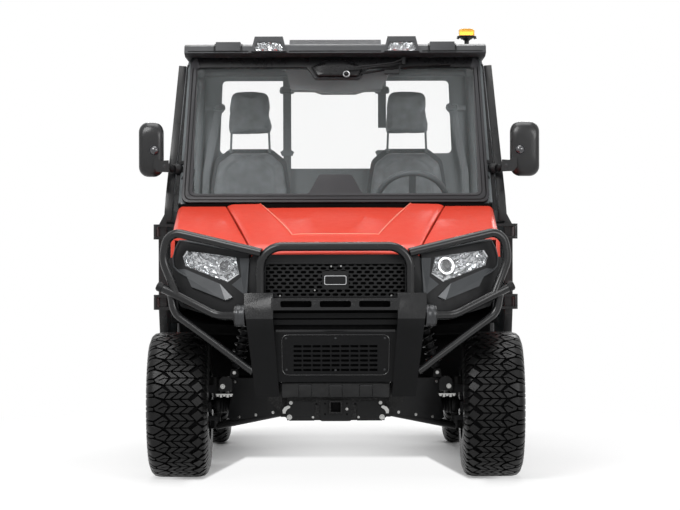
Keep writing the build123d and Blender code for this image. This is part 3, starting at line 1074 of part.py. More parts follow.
# ---------------------------------------------------------------- rear wings
WING_X = (560.0, 800.0)
WING_RADIUS = 385.0
WING_T = 14.0
WING_FRONT_Y = B_PILLAR_Y + 24.0
with BuildPart() as rear_fenders:
    with BuildSketch(Plane.YZ.offset(WING_X[0])) as flare:
        with Locations((REAR_AXLE_Y, AXLE_Z)):
            Circle(WING_RADIUS)
            Circle(WING_RADIUS - WING_T, mode=Mode.SUBTRACT)
        with Locations((REAR_AXLE_Y, AXLE_Z - 900 + 130)):
            Rectangle(2000, 1800, mode=Mode.SUBTRACT)
    extrude(flare.sketch, amount=WING_X[1] - WING_X[0])
    # side panel between the door and the arch
    with BuildPart(mode=Mode.PRIVATE) as panel:
        side_plate(((WING_FRONT_Y, SILL_Z[0]), (REAR_AXLE_Y, SILL_Z[0]), (REAR_AXLE_Y, 760),
                    (BED_FRONT_Y - 20, 790), (BED_FRONT_Y - 20, BELT_Z), (WING_FRONT_Y, BELT_Z)),
                   (WING_X[1] - 22, WING_X[1]))
        rod((WING_X[1] - 30, REAR_AXLE_Y, AXLE_Z), (WING_X[1] + 1, REAR_AXLE_Y, AXLE_Z),
            2 * (WING_RADIUS - WING_T / 2), Mode.SUBTRACT)
    add(panel.part)
    brick((REAR_WALL_HALF - 30, WING_X[1] - 10), (WALL_Y + WALL_T + RUN, WALL_Y + WALL_T + 14),
          (520, BELT_Z - 10))
    mirror(about=Plane.YZ)
finish(rear_fenders, "rear_fenders")

# ---------------------------------------------------------------- doors
door_lean = Vector(DOOR_TOP_X - DOOR_BELT_X, 0, DOOR_TOP_Z - BELT_Z)
WINDOW_PLANE = Plane(origin=(DOOR_BELT_X, 0, BELT_Z), x_dir=(0, 1, 0), z_dir=(door_lean.Z, 0, -door_lean.X))
RISE = door_lean.length


def pillar_y(z):
    """The door's leaning front edge, behind the A-pillar."""
    share = (z - PILLAR_FOOT[2]) / (PILLAR_HEAD[2] - PILLAR_FOOT[2])
    return DOOR_FRONT_Y + 14 + share * (PILLAR_HEAD[1] - PILLAR_FOOT[1])


WINDOW_EDGE = ((DOOR_FRONT_Y, -30), (DOOR_FRONT_Y, 36), (pillar_y(DOOR_TOP_Z), RISE),
               (DOOR_REAR_Y, RISE), (DOOR_REAR_Y, -30))
WINDOW_HOLE = ((DOOR_FRONT_Y + 58, 40), (pillar_y(DOOR_TOP_Z) + 36, RISE - 52), (DOOR_REAR_Y - 56, RISE - 52),
               (DOOR_REAR_Y - 56, 40))
with BuildPart() as door_panel:
    side_plate(((DOOR_FRONT_Y, BELT_Z), (DOOR_FRONT_Y, 700), (DOOR_FRONT_Y + 70, 620),
                (DOOR_FRONT_Y + 100, DOOR_BOTTOM_Z), (DOOR_REAR_Y, DOOR_BOTTOM_Z),
                (DOOR_REAR_Y, BELT_Z)), (DOOR_X - DOOR_T, DOOR_X))
    # the panel's top slopes in to the window frame
    front_plate(((DOOR_BELT_X, BELT_Z + 1), (DOOR_X + 1, BELT_Z + 1), (DOOR_X + 1, BELT_Z - BELT_SLOPE)),
                (DOOR_FRONT_Y - 1, DOOR_REAR_Y + 1), mode=Mode.SUBTRACT)
    prism(WINDOW_EDGE, WINDOW_PLANE, -DOOR_T)
    prism(WINDOW_HOLE, WINDOW_PLANE.offset(1), -DOOR_T - 20, 40, Mode.SUBTRACT)
    for z in HINGE_ZS:
        rod((HINGE_X, HINGE_Y, z - HINGE_LENGTH / 2), (HINGE_X, HINGE_Y, z + HINGE_LENGTH / 2), HINGE_D)
        top_plate(((HINGE_X - 12, HINGE_Y), (HINGE_X + 6, HINGE_Y + 6),
                   (HINGE_X - 10, DOOR_FRONT_Y + 30), (DOOR_X - 6, DOOR_FRONT_Y + 30)),
                  (z - HINGE_LENGTH / 2, z + HINGE_LENGTH / 2))
        rod((HINGE_X, HINGE_Y, z - HINGE_LENGTH), (HINGE_X, HINGE_Y, z + HINGE_LENGTH),
            HINGE_PIN_D + 2 * RUN, Mode.SUBTRACT)
    brick((DOOR_X - 2, DOOR_X + 16), (DOOR_REAR_Y - 190, DOOR_REAR_Y - 50), (1060, 1095))

with BuildPart() as door_pane:
    with BuildSketch(WINDOW_PLANE.offset(-DOOR_T / 2 + GLASS_T / 2)) as side_pane:
        with BuildLine():
            Polyline(*WINDOW_HOLE, close=True)
        make_face()
        fillet(side_pane.vertices(), 40)
        offset(amount=-RUN)
    extrude(side_pane.sketch, amount=-GLASS_T)

for side, sign in SIDES:
    for half, form in (("panel", door_panel), ("glass", door_pane)):
        with BuildPart() as door_side:
            if sign > 0:
                add(form.part)
            else:
                mirror(form.part, about=Plane.YZ)
        finish(door_side, f"door_{half}_{side}")

# ---------------------------------------------------------------- cargo bed and its lift
pivot_y, pivot_z = BED_PIVOT
GATE_HALF = BED_HALF - POST_WIDTH - SHUT
GATE_HINGE = (BED_REAR_Y + 22.0, BED_FLOOR_Z[0] + 14.0)  # y, z
GATE_HINGE_XS = (-520.0, 520.0)
GATE_KNUCKLE_HALF = 22.0
GATE_KNUCKLE_D = 24.0
GATE_PIN_D = 12.0
with BuildPart() as cargo_bed:
    brick((-BED_HALF, BED_HALF), (BED_FRONT_Y, BED_REAR_Y), (BED_FLOOR_Z[0], BED_TOP_Z))
    brick((-BED_HALF + BED_WALL, BED_HALF - BED_WALL), (BED_FRONT_Y + BED_WALL, BED_REAR_Y + 1),
          (BED_FLOOR_Z[1], BED_TOP_Z + 1), Mode.SUBTRACT)
    for sign in (1, -1):
        # rear corner posts and rails along the top
        brick((sign * (BED_HALF - POST_WIDTH), sign * BED_HALF), (BED_REAR_Y - 60, BED_REAR_Y + 8),
              (BED_FLOOR_Z[0], BED_TOP_Z))
        rail_x, rail_z = sign * (BED_HALF - 18), BED_TOP_Z + 14
        rod((rail_x, BED_FRONT_Y + 20, rail_z), (rail_x, BED_REAR_Y - 20, rail_z), 30)
        # runner on the chassis rail, with ears round the pivot pin
        bed_in, bed_out = BED_RAIL_X - BED_RAIL_WIDTH / 2, BED_RAIL_X + BED_RAIL_WIDTH / 2
        runner_x = (sign * (bed_in - EAR_GAP - EAR_T), sign * (bed_out + EAR_GAP + EAR_T))
        brick(runner_x, (BED_FRONT_Y + 10, pivot_y - 70), (BED_RAIL_Z[1] + RUN, BED_FLOOR_Z[0]))
        brick(runner_x, (pivot_y - 71, BED_REAR_Y - 40), (pivot_z + 38, BED_FLOOR_Z[0]))
        for ear_x in (bed_in - EAR_GAP - EAR_T, bed_out + EAR_GAP):
            side_plate(((pivot_y - 26, pivot_z - 6), (pivot_y - 14, pivot_z - 22),
                        (pivot_y + 14, pivot_z - 22), (pivot_y + 26, pivot_z - 6),
                        (pivot_y + 34, BED_FLOOR_Z[0]), (pivot_y - 50, BED_FLOOR_Z[0])),
                       (sign * ear_x, sign * (ear_x + EAR_T)))
        # ears for the lift rod
        lug_x = sign * (LIFT_LUG_GAP / 2)
        side_plate(((LIFT_EYE[0] - 24, LIFT_EYE[1] - 20), (LIFT_EYE[0] + 24, LIFT_EYE[1] - 20),
                    (LIFT_EYE[0] + 34, BED_FLOOR_Z[0]), (LIFT_EYE[0] - 34, BED_FLOOR_Z[0])),
                   (lug_x, lug_x + sign * 10))
    rod((-bed_out - 60, *BED_PIVOT), (bed_out + 60, *BED_PIVOT), PIVOT_PIN_D + 2 * RUN, Mode.SUBTRACT)
    # the tailgate's hinge lugs and pins
    for x in GATE_HINGE_XS:
        for end in (1, -1):
            near = x + end * (GATE_KNUCKLE_HALF + RUN)
            rod((near, *GATE_HINGE), (near + end * 10, *GATE_HINGE), GATE_KNUCKLE_D)
            brick((near, near + end * 10), (BED_REAR_Y - 6, GATE_HINGE[0]),
                  (GATE_HINGE[1] - GATE_KNUCKLE_D / 2, GATE_HINGE[1] + 6))
        rod((x - GATE_KNUCKLE_HALF - 10, *GATE_HINGE), (x + GATE_KNUCKLE_HALF + 10, *GATE_HINGE), GATE_PIN_D)
finish(cargo_bed, "cargo_bed")

with BuildPart() as tailgate:
    gate_face_y = BED_REAR_Y + TAILGATE_T
    brick((-GATE_HALF, GATE_HALF), (BED_REAR_Y + SHUT, gate_face_y), (BED_FLOOR_Z[1] + 8, BED_TOP_Z - 4))
    for x in GATE_HINGE_XS:
        rod((x - GATE_KNUCKLE_HALF, *GATE_HINGE), (x + GATE_KNUCKLE_HALF, *GATE_HINGE), GATE_KNUCKLE_D)
        brick((x - GATE_KNUCKLE_HALF, x + GATE_KNUCKLE_HALF), (GATE_HINGE[0] - 6, GATE_HINGE[0] + 5),
              (GATE_HINGE[1], BED_FLOOR_Z[1] + 20))
        rod((x - BED_WALL, *GATE_HINGE), (x + BED_WALL, *GATE_HINGE), GATE_PIN_D + 2 * RUN, Mode.SUBTRACT)
    for rib_z in (900, 1010):
        brick((-GATE_HALF + 60, GATE_HALF - 60), (gate_face_y - 1, gate_face_y + 7), (rib_z - 18, rib_z + 18))
    brick((-60, 60), (gate_face_y - 1, TAIL_Y), (1050, 1078))
finish(tailgate, "tailgate")

with BuildPart() as tail_lamps:
    for sign in (1, -1):
        brick((sign * (BED_HALF - POST_WIDTH + 6), sign * (BED_HALF - 6)),
              (BED_REAR_Y + 8 + RUN, BED_REAR_Y + 22), (880, 1040))
finish(tail_lamps, "tail_lamps")

lift_run = Vector(0, LIFT_EYE[0] - LIFT_FOOT[0], LIFT_EYE[1] - LIFT_FOOT[1])
lift_axis = lift_run.normalized()
lift_foot = Vector(0, *LIFT_FOOT)
EYE_WIDTH = LIFT_LUG_GAP - 6.0
with BuildPart() as lift_barrel:
    rod(tuple(lift_foot + lift_axis * 40), tuple(lift_foot + lift_axis * LIFT_BARREL_LENGTH), LIFT_BARREL_D)
    rod((-EYE_WIDTH / 2, *LIFT_FOOT), (EYE_WIDTH / 2, *LIFT_FOOT), 44)
    rod(tuple(lift_foot), tuple(lift_foot + lift_axis * 42), 22)
    rod((-EYE_WIDTH, *LIFT_FOOT), (EYE_WIDTH, *LIFT_FOOT), 18 + 2 * RUN, Mode.SUBTRACT)
    rod(tuple(lift_foot + lift_axis * 56), tuple(lift_foot + lift_axis * (LIFT_BARREL_LENGTH + 5)),
        LIFT_ROD_D + 2 * RUN, Mode.SUBTRACT)
finish(lift_barrel, "lift_barrel")

with BuildPart() as lift_rod:
    eye = Vector(0, *LIFT_EYE)
    rod(tuple(lift_foot + lift_axis * 62), tuple(eye), LIFT_ROD_D)
    rod((-EYE_WIDTH / 2, *LIFT_EYE), (EYE_WIDTH / 2, *LIFT_EYE), 38)
finish(lift_rod, "lift_rod")
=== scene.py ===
import math
import random

import bmesh
import bpy
from mathutils import Matrix, Vector


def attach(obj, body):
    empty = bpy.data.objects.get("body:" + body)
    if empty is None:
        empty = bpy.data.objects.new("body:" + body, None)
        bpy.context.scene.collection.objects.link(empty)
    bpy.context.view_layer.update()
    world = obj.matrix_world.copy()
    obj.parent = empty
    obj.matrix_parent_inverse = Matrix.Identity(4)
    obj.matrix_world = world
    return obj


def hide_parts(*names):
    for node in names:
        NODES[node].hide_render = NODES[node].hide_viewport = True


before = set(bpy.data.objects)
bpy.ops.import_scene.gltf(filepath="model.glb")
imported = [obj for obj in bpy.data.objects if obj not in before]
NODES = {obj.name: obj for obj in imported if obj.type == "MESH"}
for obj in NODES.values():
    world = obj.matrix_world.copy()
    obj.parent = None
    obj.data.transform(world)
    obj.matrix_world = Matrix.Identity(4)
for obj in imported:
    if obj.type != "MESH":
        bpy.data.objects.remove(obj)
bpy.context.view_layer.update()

# A diesel side by side with a closed cab. Metres; -Y is the front, +X the vehicle's left.
VEHICLE = "vehicle"
FRONT_AXLE_Y = -1.04
REAR_AXLE_Y = 0.97
AXLE_Z = 0.3175
WHEEL_X = 0.683
SIDES = (("left", 1), ("right", -1))

# ---------------------------------------------------------------- materials


class Nodes:
    """A material's node tree with short calls for the few node kinds used here."""

    def __init__(self, name):
        self.material = bpy.data.materials.new(name)
        self.material.use_nodes = True
        self.tree = self.material.node_tree
        self.shader = self.tree.nodes["Principled BSDF"]
        self.place = self.tree.nodes.new("ShaderNodeTexCoord").outputs["Object"]

    def new(self, kind, **inputs):
        node = self.tree.nodes.new(kind)
        for key, value in inputs.items():
            socket = node.inputs[key.replace("_", " ")]
            if isinstance(value, bpy.types.NodeSocket):
                self.tree.links.new(value, socket)
            else:
                socket.default_value = value
        return node

    def link(self, output, socket_name):
        self.tree.links.new(output, self.shader.inputs[socket_name])

    def set(self, **values):
        for key, value in values.items():
            self.shader.inputs[key.replace("_", " ")].default_value = value

    def noise(self, scale, detail=4.0, rough=0.55, place=None):
        node = self.new("ShaderNodeTexNoise", Vector=place or self.place, Scale=scale, Detail=detail)
        node.inputs["Roughness"].default_value = rough
        return node.outputs["Fac"]

    def ramp(self, value, low, high, start, end):
        """Colour or grey from low at start to high at end."""
        node = self.tree.nodes.new("ShaderNodeValToRGB")
        self.tree.links.new(value, node.inputs["Fac"])
        for stop, place, colour in zip(node.color_ramp.elements, (start, end), (low, high)):
            stop.position = place
            stop.color = colour if len(colour) == 4 else (*colour, 1)
        return node.outputs["Color"]

    def span(self, value, low, high, start=0.3, end=0.7):
        node = self.new("ShaderNodeMapRange", Value=value)
        for key, number in (("From Min", start), ("From Max", end), ("To Min", low), ("To Max", high)):
            node.inputs[key].default_value = number
        return node.outputs["Result"]

    def blend(self, share, first, second, kind="MIX"):
        node = self.tree.nodes.new("ShaderNodeMix")
        node.data_type = "RGBA"
        node.blend_type = kind
        sockets = [s for s in node.inputs if s.type == "RGBA"]
        for socket, value in ((node.inputs["Factor"], share), (sockets[0], first), (sockets[1], second)):
            if isinstance(value, bpy.types.NodeSocket):
                self.tree.links.new(value, socket)
            else:
                socket.default_value = value if isinstance(value, float) or len(value) == 4 else (*value, 1)
        return [s for s in node.outputs if s.type == "RGBA"][0]

    def bump(self, height, strength, distance, under=None):
        node = self.new("ShaderNodeBump", Height=height, Strength=strength, Distance=distance)
        if under is not None:
            self.tree.links.new(under, node.inputs["Normal"])
        return node.outputs["Normal"]


def tint(colour, factor):
    """The colour made lighter or darker."""
    return tuple(min(1.0, c * factor) for c in colour[:3])


def surface(name, colour, rough=(0.4, 0.5), metal=0.0, grain=900.0, depth=0.0, spread=0.12, coat=0.0,
            wear=None, dust=0.0, specular=0.5):
    """A painted, moulded or bare surface: patchy colour and gloss, a fine grain and worn edges."""
    n = Nodes(name)
    patches = n.noise(6.0, 3.0)
    colour_out = n.ramp(patches, tint(colour, 1 - spread), tint(colour, 1 + spread), 0.3, 0.7)
    if wear is not None:
        edge = n.tree.nodes.new("ShaderNodeNewGeometry").outputs["Pointiness"]
        rubbed = n.span(edge, 0.0, 1.0, 0.52, 0.62)
        broken = n.span(n.noise(140.0, 5.0), 0.0, 0.75, 0.45, 0.62)
        mask = n.new("ShaderNodeMath", Value=rubbed)
        mask.operation = "MULTIPLY"
        n.tree.links.new(broken, mask.inputs[1])
        colour_out = n.blend(mask.outputs["Value"], colour_out, wear)
    if dust:
        film = n.span(n.noise(11.0, 6.0, 0.65), 0.0, dust, 0.42, 0.8)
        colour_out = n.blend(film, colour_out, (0.30, 0.27, 0.23))
    n.link(colour_out, "Base Color")
    n.link(n.span(n.noise(35.0, 5.0), rough[0], rough[1]), "Roughness")
    n.set(Metallic=metal, Specular_IOR_Level=specular)
    if coat:
        n.set(Coat_Weight=coat, Coat_Roughness=0.16)
    if depth:
        n.link(n.bump(n.noise(grain, 3.0, 0.6), 0.5, depth), "Normal")
    return n.material


def clear(name, colour, alpha_mix=0.82, rough=0.0, bump=0.0, through=True):
    """Thin glass or lens: mostly see-through, with its gloss and a faint tint."""
    n = Nodes(name)
    haze = n.noise(5.0, 4.0)
    n.link(n.ramp(haze, tint(colour, 0.96), tint(colour, 1.04), 0.3, 0.7), "Base Color")
    if through:
        n.set(Transmission_Weight=1.0, IOR=1.12, Roughness=rough, Alpha=alpha_mix)
    else:
        n.set(IOR=1.45, Roughness=0.03, Alpha=alpha_mix)
    if bump:
        waves = n.tree.nodes.new("ShaderNodeTexWave")
        n.tree.links.new(n.place, waves.inputs["Vector"])
        waves.inputs["Scale"].default_value = bump
        n.link(n.bump(waves.outputs["Fac"], 0.3, 0.002), "Normal")
    return n.material


def leather(name, colour):
    """Grained vinyl: cells of a hide with fine creases."""
    n = Nodes(name)
    cells = n.tree.nodes.new("ShaderNodeTexVoronoi")
    cells.feature = "DISTANCE_TO_EDGE"
    n.tree.links.new(n.place, cells.inputs["Vector"])
    cells.inputs["Scale"].default_value = 420.0
    n.link(n.ramp(n.noise(18.0, 5.0), tint(colour, 0.8), tint(colour, 1.25), 0.3, 0.7), "Base Color")
    n.link(n.span(n.noise(60.0, 4.0), 0.42, 0.6), "Roughness")
    grain = n.bump(n.ramp(cells.outputs["Distance"], (0, 0, 0), (1, 1, 1), 0.0, 0.09), 0.35, 0.0004)
    n.link(n.bump(n.noise(30.0, 4.0), 0.25, 0.004, grain), "Normal")
    return n.material


def webbing(name, colour, across="X"):
    """Woven strap: fine ribs across it and selvedge threads along it."""
    n = Nodes(name)
    waves = n.tree.nodes.new("ShaderNodeTexWave")
    waves.bands_direction = "Z"
    n.tree.links.new(n.place, waves.inputs["Vector"])
    waves.inputs["Scale"].default_value = 260.0
    warp = n.tree.nodes.new("ShaderNodeTexWave")
    warp.bands_direction = across
    n.tree.links.new(n.place, warp.inputs["Vector"])
    warp.inputs["Scale"].default_value = 190.0
    weave = n.blend(0.5, waves.outputs["Color"], warp.outputs["Color"], "MULTIPLY")
    n.link(n.ramp(weave, tint(colour, 0.6), tint(colour, 1.5), 0.1, 0.8), "Base Color")
    n.link(n.span(n.noise(90.0), 0.6, 0.8), "Roughness")
    n.link(n.bump(weave, 0.6, 0.0006), "Normal")
    return n.material


ROOF_SKIN = surface("roof_moulding", (0.031, 0.0325, 0.035), (0.42, 0.54), grain=2200, depth=0.0004,
                    spread=0.1, specular=0.32)
RED = surface("paint_red", (0.62, 0.048, 0.024), (0.36, 0.46), grain=700, depth=0.0001, spread=0.03,
              coat=0.22, specular=0.25)
BAR = surface("powder_coat", (0.0058, 0.0060, 0.0065), (0.20, 0.28), grain=1500, depth=0.0001, spread=0.12,
              wear=(0.04, 0.04, 0.04), specular=0.36)
FRAME_PAINT = surface("frame_paint", (0.0048, 0.0048, 0.0052), (0.42, 0.56), grain=1200, depth=0.0003,
                      spread=0.15, wear=(0.03, 0.03, 0.03), dust=0.02, specular=0.2)
MOULDED = surface("moulded_black", (0.0060, 0.0062, 0.0068), (0.46, 0.58), grain=2200, depth=0.0004,
                  spread=0.12, specular=0.22)
MOULDED_LIGHT = surface("moulded_grey", (0.033, 0.036, 0.039), (0.42, 0.52), grain=2200, depth=0.0004,
                        spread=0.1, specular=0.3)
# painted highlight: a light grey for a small facet of the nose that catches the light
PANEL_HIGHLIGHT = surface("painted_highlight_grey", (0.115, 0.120, 0.126), (0.35, 0.45), grain=2200, depth=0.0002,
                       spread=0.08)
GRILLE_BLACK = surface("grille_black", (0.0062, 0.0064, 0.0068), (0.42, 0.52), grain=1800, depth=0.0002,
                       specular=0.25)
# painted shade: a near-black for sheets and holes put where there is only shade, and for hollows in shade:
# behind the grille and the intake, the cowl gap, the front arches, the tyres' grooves and under the cab floor
SHADOW = surface("painted_shade_black", (0.0020, 0.0020, 0.0022), (0.7, 0.85), grain=900, depth=0.0003, specular=0.06)
TRIM = surface("satin_trim", (0.0042, 0.0042, 0.0047), (0.24, 0.34), grain=1500, depth=0.0001, spread=0.1,
               specular=0.24)
DOOR_BLACK = surface("door_paint", (0.0075, 0.0078, 0.0084), (0.26, 0.38), grain=900, depth=0.0001,
                     spread=0.1, coat=0.15, specular=0.28)
MIRROR_SHELL = surface("mirror_shell", (0.0085, 0.0088, 0.0094), (0.28, 0.38), grain=2000, depth=0.0002,
                       coat=0.2, specular=0.3)
CABIN = surface("cabin_plastic", (0.205, 0.225, 0.235), (0.5, 0.62), grain=1800, depth=0.0005, spread=0.08,
                specular=0.3)
CABIN_DARK = surface("cabin_dark", (0.085, 0.093, 0.099), (0.5, 0.62), grain=1800, depth=0.0005, spread=0.10,
                     specular=0.3)
RUBBER = surface("tyre_rubber", (0.0036, 0.0036, 0.0038), (0.30, 0.42), grain=1300, depth=0.0002, spread=0.18,
                 dust=0.008, specular=0.2)
SEAL = surface("seal_rubber", (0.0036, 0.0036, 0.0040), (0.5, 0.65), grain=1400, depth=0.0003, specular=0.2)
RIM_PAINT = surface("rim_paint", (0.0075, 0.0075, 0.0082), (0.28, 0.4), grain=1200, depth=0.0002,
                    wear=(0.08, 0.08, 0.08), specular=0.35)
STEEL = surface("bare_steel", (0.42, 0.42, 0.43), (0.24, 0.38), metal=1.0, grain=1600, depth=0.0001,
                spread=0.1)
ZINC = surface("zinc_bolt", (0.44, 0.44, 0.43), (0.22, 0.38), metal=1.0, grain=2000, depth=0.0001,
               spread=0.12)
SATIN_SILVER = surface("satin_silver", (0.62, 0.63, 0.64), (0.22, 0.32), metal=0.9, grain=1600, depth=0.0001)
COLLAR = surface("collar_paint", (0.026, 0.027, 0.029), (0.26, 0.36), metal=0.3, grain=1500, depth=0.0002)
CAST = surface("cast_iron", (0.012, 0.012, 0.013), (0.5, 0.65), metal=0.4, grain=500, depth=0.0006,
               spread=0.2, specular=0.25)
DARK_PLATE = surface("dark_plate", (0.0052, 0.0054, 0.0058), (0.38, 0.52), grain=900, depth=0.0003,
                     specular=0.2)
SPRING = surface("spring_coat", (0.0060, 0.0060, 0.0065), (0.24, 0.34), grain=1500, depth=0.0001,
                 specular=0.35)
CHROME = surface("reflector_chrome", (0.52, 0.53, 0.54), (0.05, 0.16), metal=1.0, grain=600, depth=0.0001,
                 spread=0.10)
MIRROR_FACE = surface("mirror_face", (0.88, 0.89, 0.9), (0.02, 0.03), metal=1.0, spread=0.02)
DARK_LENS = surface("projector", (0.012, 0.012, 0.016), (0.05, 0.1), coat=1.0, spread=0.1)
VINYL = leather("seat_vinyl", (0.185, 0.202, 0.213))
WEBBING = webbing("belt_webbing", (0.180, 0.195, 0.205))
LINER = surface("bed_liner", (0.0085, 0.0085, 0.0092), (0.6, 0.75), grain=420, depth=0.0008, spread=0.15,
                specular=0.25)
CABIN_MID = surface("cabin_lining", (0.125, 0.138, 0.144), (0.5, 0.62), grain=1800, depth=0.0005, spread=0.08,
                    specular=0.3)
SURROUND = surface("screen_surround", (0.027, 0.027, 0.0295), (0.28, 0.38), grain=1500, depth=0.0001,
                   spread=0.06, specular=0.24)
# painted shade: a darker copy of the powder coat for the bull bar's parts that face down or sit in the dark
# intake
BAR_SHADE = surface("powder_coat_painted_shade", (0.0038, 0.0039, 0.0042), (0.42, 0.54), grain=1500, depth=0.0001,
                  spread=0.12, specular=0.10)
# painted highlight: a light pinkish red for the line of light along the bonnet's crease
RED_HIGHLIGHT = surface("paint_red_highlight", (0.80, 0.24, 0.16), (0.3, 0.4), grain=700, depth=0.0001, spread=0.03,
                   coat=0.3)
# painted highlight: a light grey for the line of light along the edge between the front pillars and the doors
EDGE_HIGHLIGHT = surface("edge_highlight", (0.16, 0.165, 0.175), (0.3, 0.4), grain=1500, depth=0.0001, spread=0.15)
GLASS = clear("cab_glass", (0.50, 0.545, 0.540), 0.032, through=False)
LENS = clear("lamp_lens", (0.90, 0.92, 0.94), 0.06, through=False)
AMBER = clear("amber_lens", (1.0, 0.42, 0.03), 0.92, 0.15, 14.0)
RED_LENS = clear("red_lens", (0.75, 0.02, 0.015), 0.95, 0.1, 20.0)

# ---------------------------------------------------------------- mesh helpers


def piece(name, bm, material, body=VEHICLE, replaces=(), smooth=32.0, weld=True):
    """Turns a bmesh into a finished object that rides on a CAD body."""
    if weld:
        bmesh.ops.remove_doubles(bm, verts=bm.verts, dist=1e-5)
    bmesh.ops.recalc_face_normals(bm, faces=bm.faces)
    mesh = bpy.data.meshes.new(name)
    bm.to_mesh(mesh)
    bm.free()
    for polygon in mesh.polygons:
        polygon.use_smooth = True
    mesh.set_sharp_from_angle(angle=math.radians(smooth))
    for m in material if isinstance(material, (list, tuple)) else (material,):
        mesh.materials.append(m)
    obj = bpy.data.objects.new(name, mesh)
    bpy.context.scene.collection.objects.link(obj)
    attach(obj, body)
    if replaces:
        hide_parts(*replaces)
    return obj


def bevel(bm, width, angle=28.0, segments=2):
    """Rounds every edge sharper than angle."""
    edges = [e for e in bm.edges if len(e.link_faces) == 2 and e.calc_face_angle(0.0) > math.radians(angle)]
    if edges:
        bmesh.ops.bevel(bm, geom=edges, offset=width, segments=segments, profile=0.7, affect="EDGES",
                        clamp_overlap=True)


def welded(node, shift=(0, 0, 0)):
    """A CAD piece, moved by shift, as a bmesh whose flat faces are whole again."""
    bm = bmesh.new()
    bm.from_mesh(NODES[node].data)
    bmesh.ops.translate(bm, verts=bm.verts, vec=shift)
    bmesh.ops.remove_doubles(bm, verts=bm.verts, dist=1e-5)
    bmesh.ops.dissolve_limit(bm, angle_limit=math.radians(0.6), verts=bm.verts, edges=bm.edges)
    return bm


def refined(node, material, body=VEHICLE, width=0.0015, angle=30.0, name=None):
    """The CAD piece with its edges rounded and a finished surface."""
    bm = welded(node)
    if width:
        bevel(bm, width, angle)
    return piece(name or node + "_finished", bm, material, body, (node,))


def bridge(bm, rows, closed=True):
    """Quads between each row of corners and the next; a closed row joins its end to its start."""
    for a, b in zip(rows, rows[1:]):
        for k in range(len(a) if closed else len(a) - 1):
            m = (k + 1) % len(a)
            bm.faces.new((a[k], a[m], b[m], b[k]))


def add_skin(bm, rows):
    """A closed solid through rows of corners, with a flat cap at each end."""
    bridge(bm, rows)
    bm.faces.new(rows[0][::-1])
    bm.faces.new(rows[-1])


def add_prism(bm, outline, start, depth, to_point):
    """A closed solid from an outline, with to_point(u, v, w) giving its place."""
    low, high = ([bm.verts.new(to_point(u, v, w)) for u, v in outline] for w in (start, start + depth))
    bm.faces.new(low[::-1])
    bm.faces.new(high)
    bridge(bm, (low, high))


def upright(u, v, w):
    """The place of an outline drawn in x and z, with its depth along y."""
    return (u, w, v)


def flipped(sign, p):
    """A point of the vehicle's left side, or with sign -1 its mirror image on the right."""
    return Vector((sign * p[0], p[1], p[2]))


def add_box(bm, low, high):
    """A box between two opposite corners."""
    outline = ((low[0], low[1]), (high[0], low[1]), (high[0], high[1]), (low[0], high[1]))
    add_prism(bm, outline, low[2], high[2] - low[2], lambda u, v, w: (u, v, w))


def boxes(name, corners, material, body=VEHICLE, edge=0.0, segments=2, smooth=35):
    """A piece made of plain boxes, each given as its low and its high corner."""
    bm = bmesh.new()
    for low, high in corners:
        add_box(bm, low, high)
    if edge:
        bevel(bm, edge, 40, segments)
    return piece(name, bm, material, body, smooth=smooth)


def ring_frame(direction):
    """Two unit vectors across a direction."""
    d = Vector(direction).normalized()
    side = d.cross(Vector((0, 0, 1)) if abs(d.z) < 0.95 else Vector((1, 0, 0))).normalized()
    return side, d.cross(side).normalized()


def circle(bm, centre, side, up, radius, steps):
    """Corners round a circle that lies in the plane of side and up."""
    angles = (2 * math.pi * k / steps for k in range(steps))
    return [bm.verts.new(centre + side * (radius * math.cos(a)) + up * (radius * math.sin(a)))
            for a in angles]


def add_lathe(bm, profile, origin, axis, steps=32, closed=True):
    """A (along, radius) outline turned about an axis; points at radius 0 become a cap."""
    side, up = ring_frame(axis)
    d = Vector(axis).normalized()
    origin = Vector(origin)
    rings = []
    for along, radius in profile:
        if radius < 1e-6:
            rings.append([bm.verts.new(origin + d * along)])
        else:
            rings.append(circle(bm, origin + d * along, side, up, radius, steps))
    pairs = list(zip(rings, rings[1:])) + ([(rings[-1], rings[0])] if closed else [])
    for a, b in pairs:
        if len(a) == 1 and len(b) == 1:
            continue
        for k in range(steps):
            m = (k + 1) % steps
            if len(a) == 1:
                bm.faces.new((a[0], b[k], b[m]))
            elif len(b) == 1:
                bm.faces.new((a[k], b[0], a[m]))
            else:
                bm.faces.new((a[k], b[k], b[m], a[m]))


def rounded_path(points, bend, steps=8):
    """A path whose corners are rounded by arcs of about the given bend."""
    points = [Vector(p) for p in points]
    if len(points) < 3:
        return points
    path = [points[0]]
    for before, corner, after in zip(points, points[1:], points[2:]):
        a, b = before - corner, after - corner
        turn = math.pi - a.angle(b)
        reach = min(bend * math.tan(turn / 2), a.length * 0.48, b.length * 0.48)
        start, end = corner + a.normalized() * reach, corner + b.normalized() * reach
        for k in range(steps + 1):
            t = k / steps
            path.append(start.lerp(corner, t).lerp(corner.lerp(end, t), t))
    path.append(points[-1])
    return path


def rounded_rect(half_w, half_h, radius, steps=8):
    """The outline of an upright oblong with round corners, about its middle."""
    points = []
    for right, top, start in ((1, 1, 0), (-1, 1, 90), (-1, -1, 180), (1, -1, 270)):
        cx, cz = right * (half_w - radius), top * (half_h - radius)
        for k in range(steps + 1):
            a = math.radians(start + 90 * k / steps)
            points.append((cx + radius * math.cos(a), cz + radius * math.sin(a)))
    return points


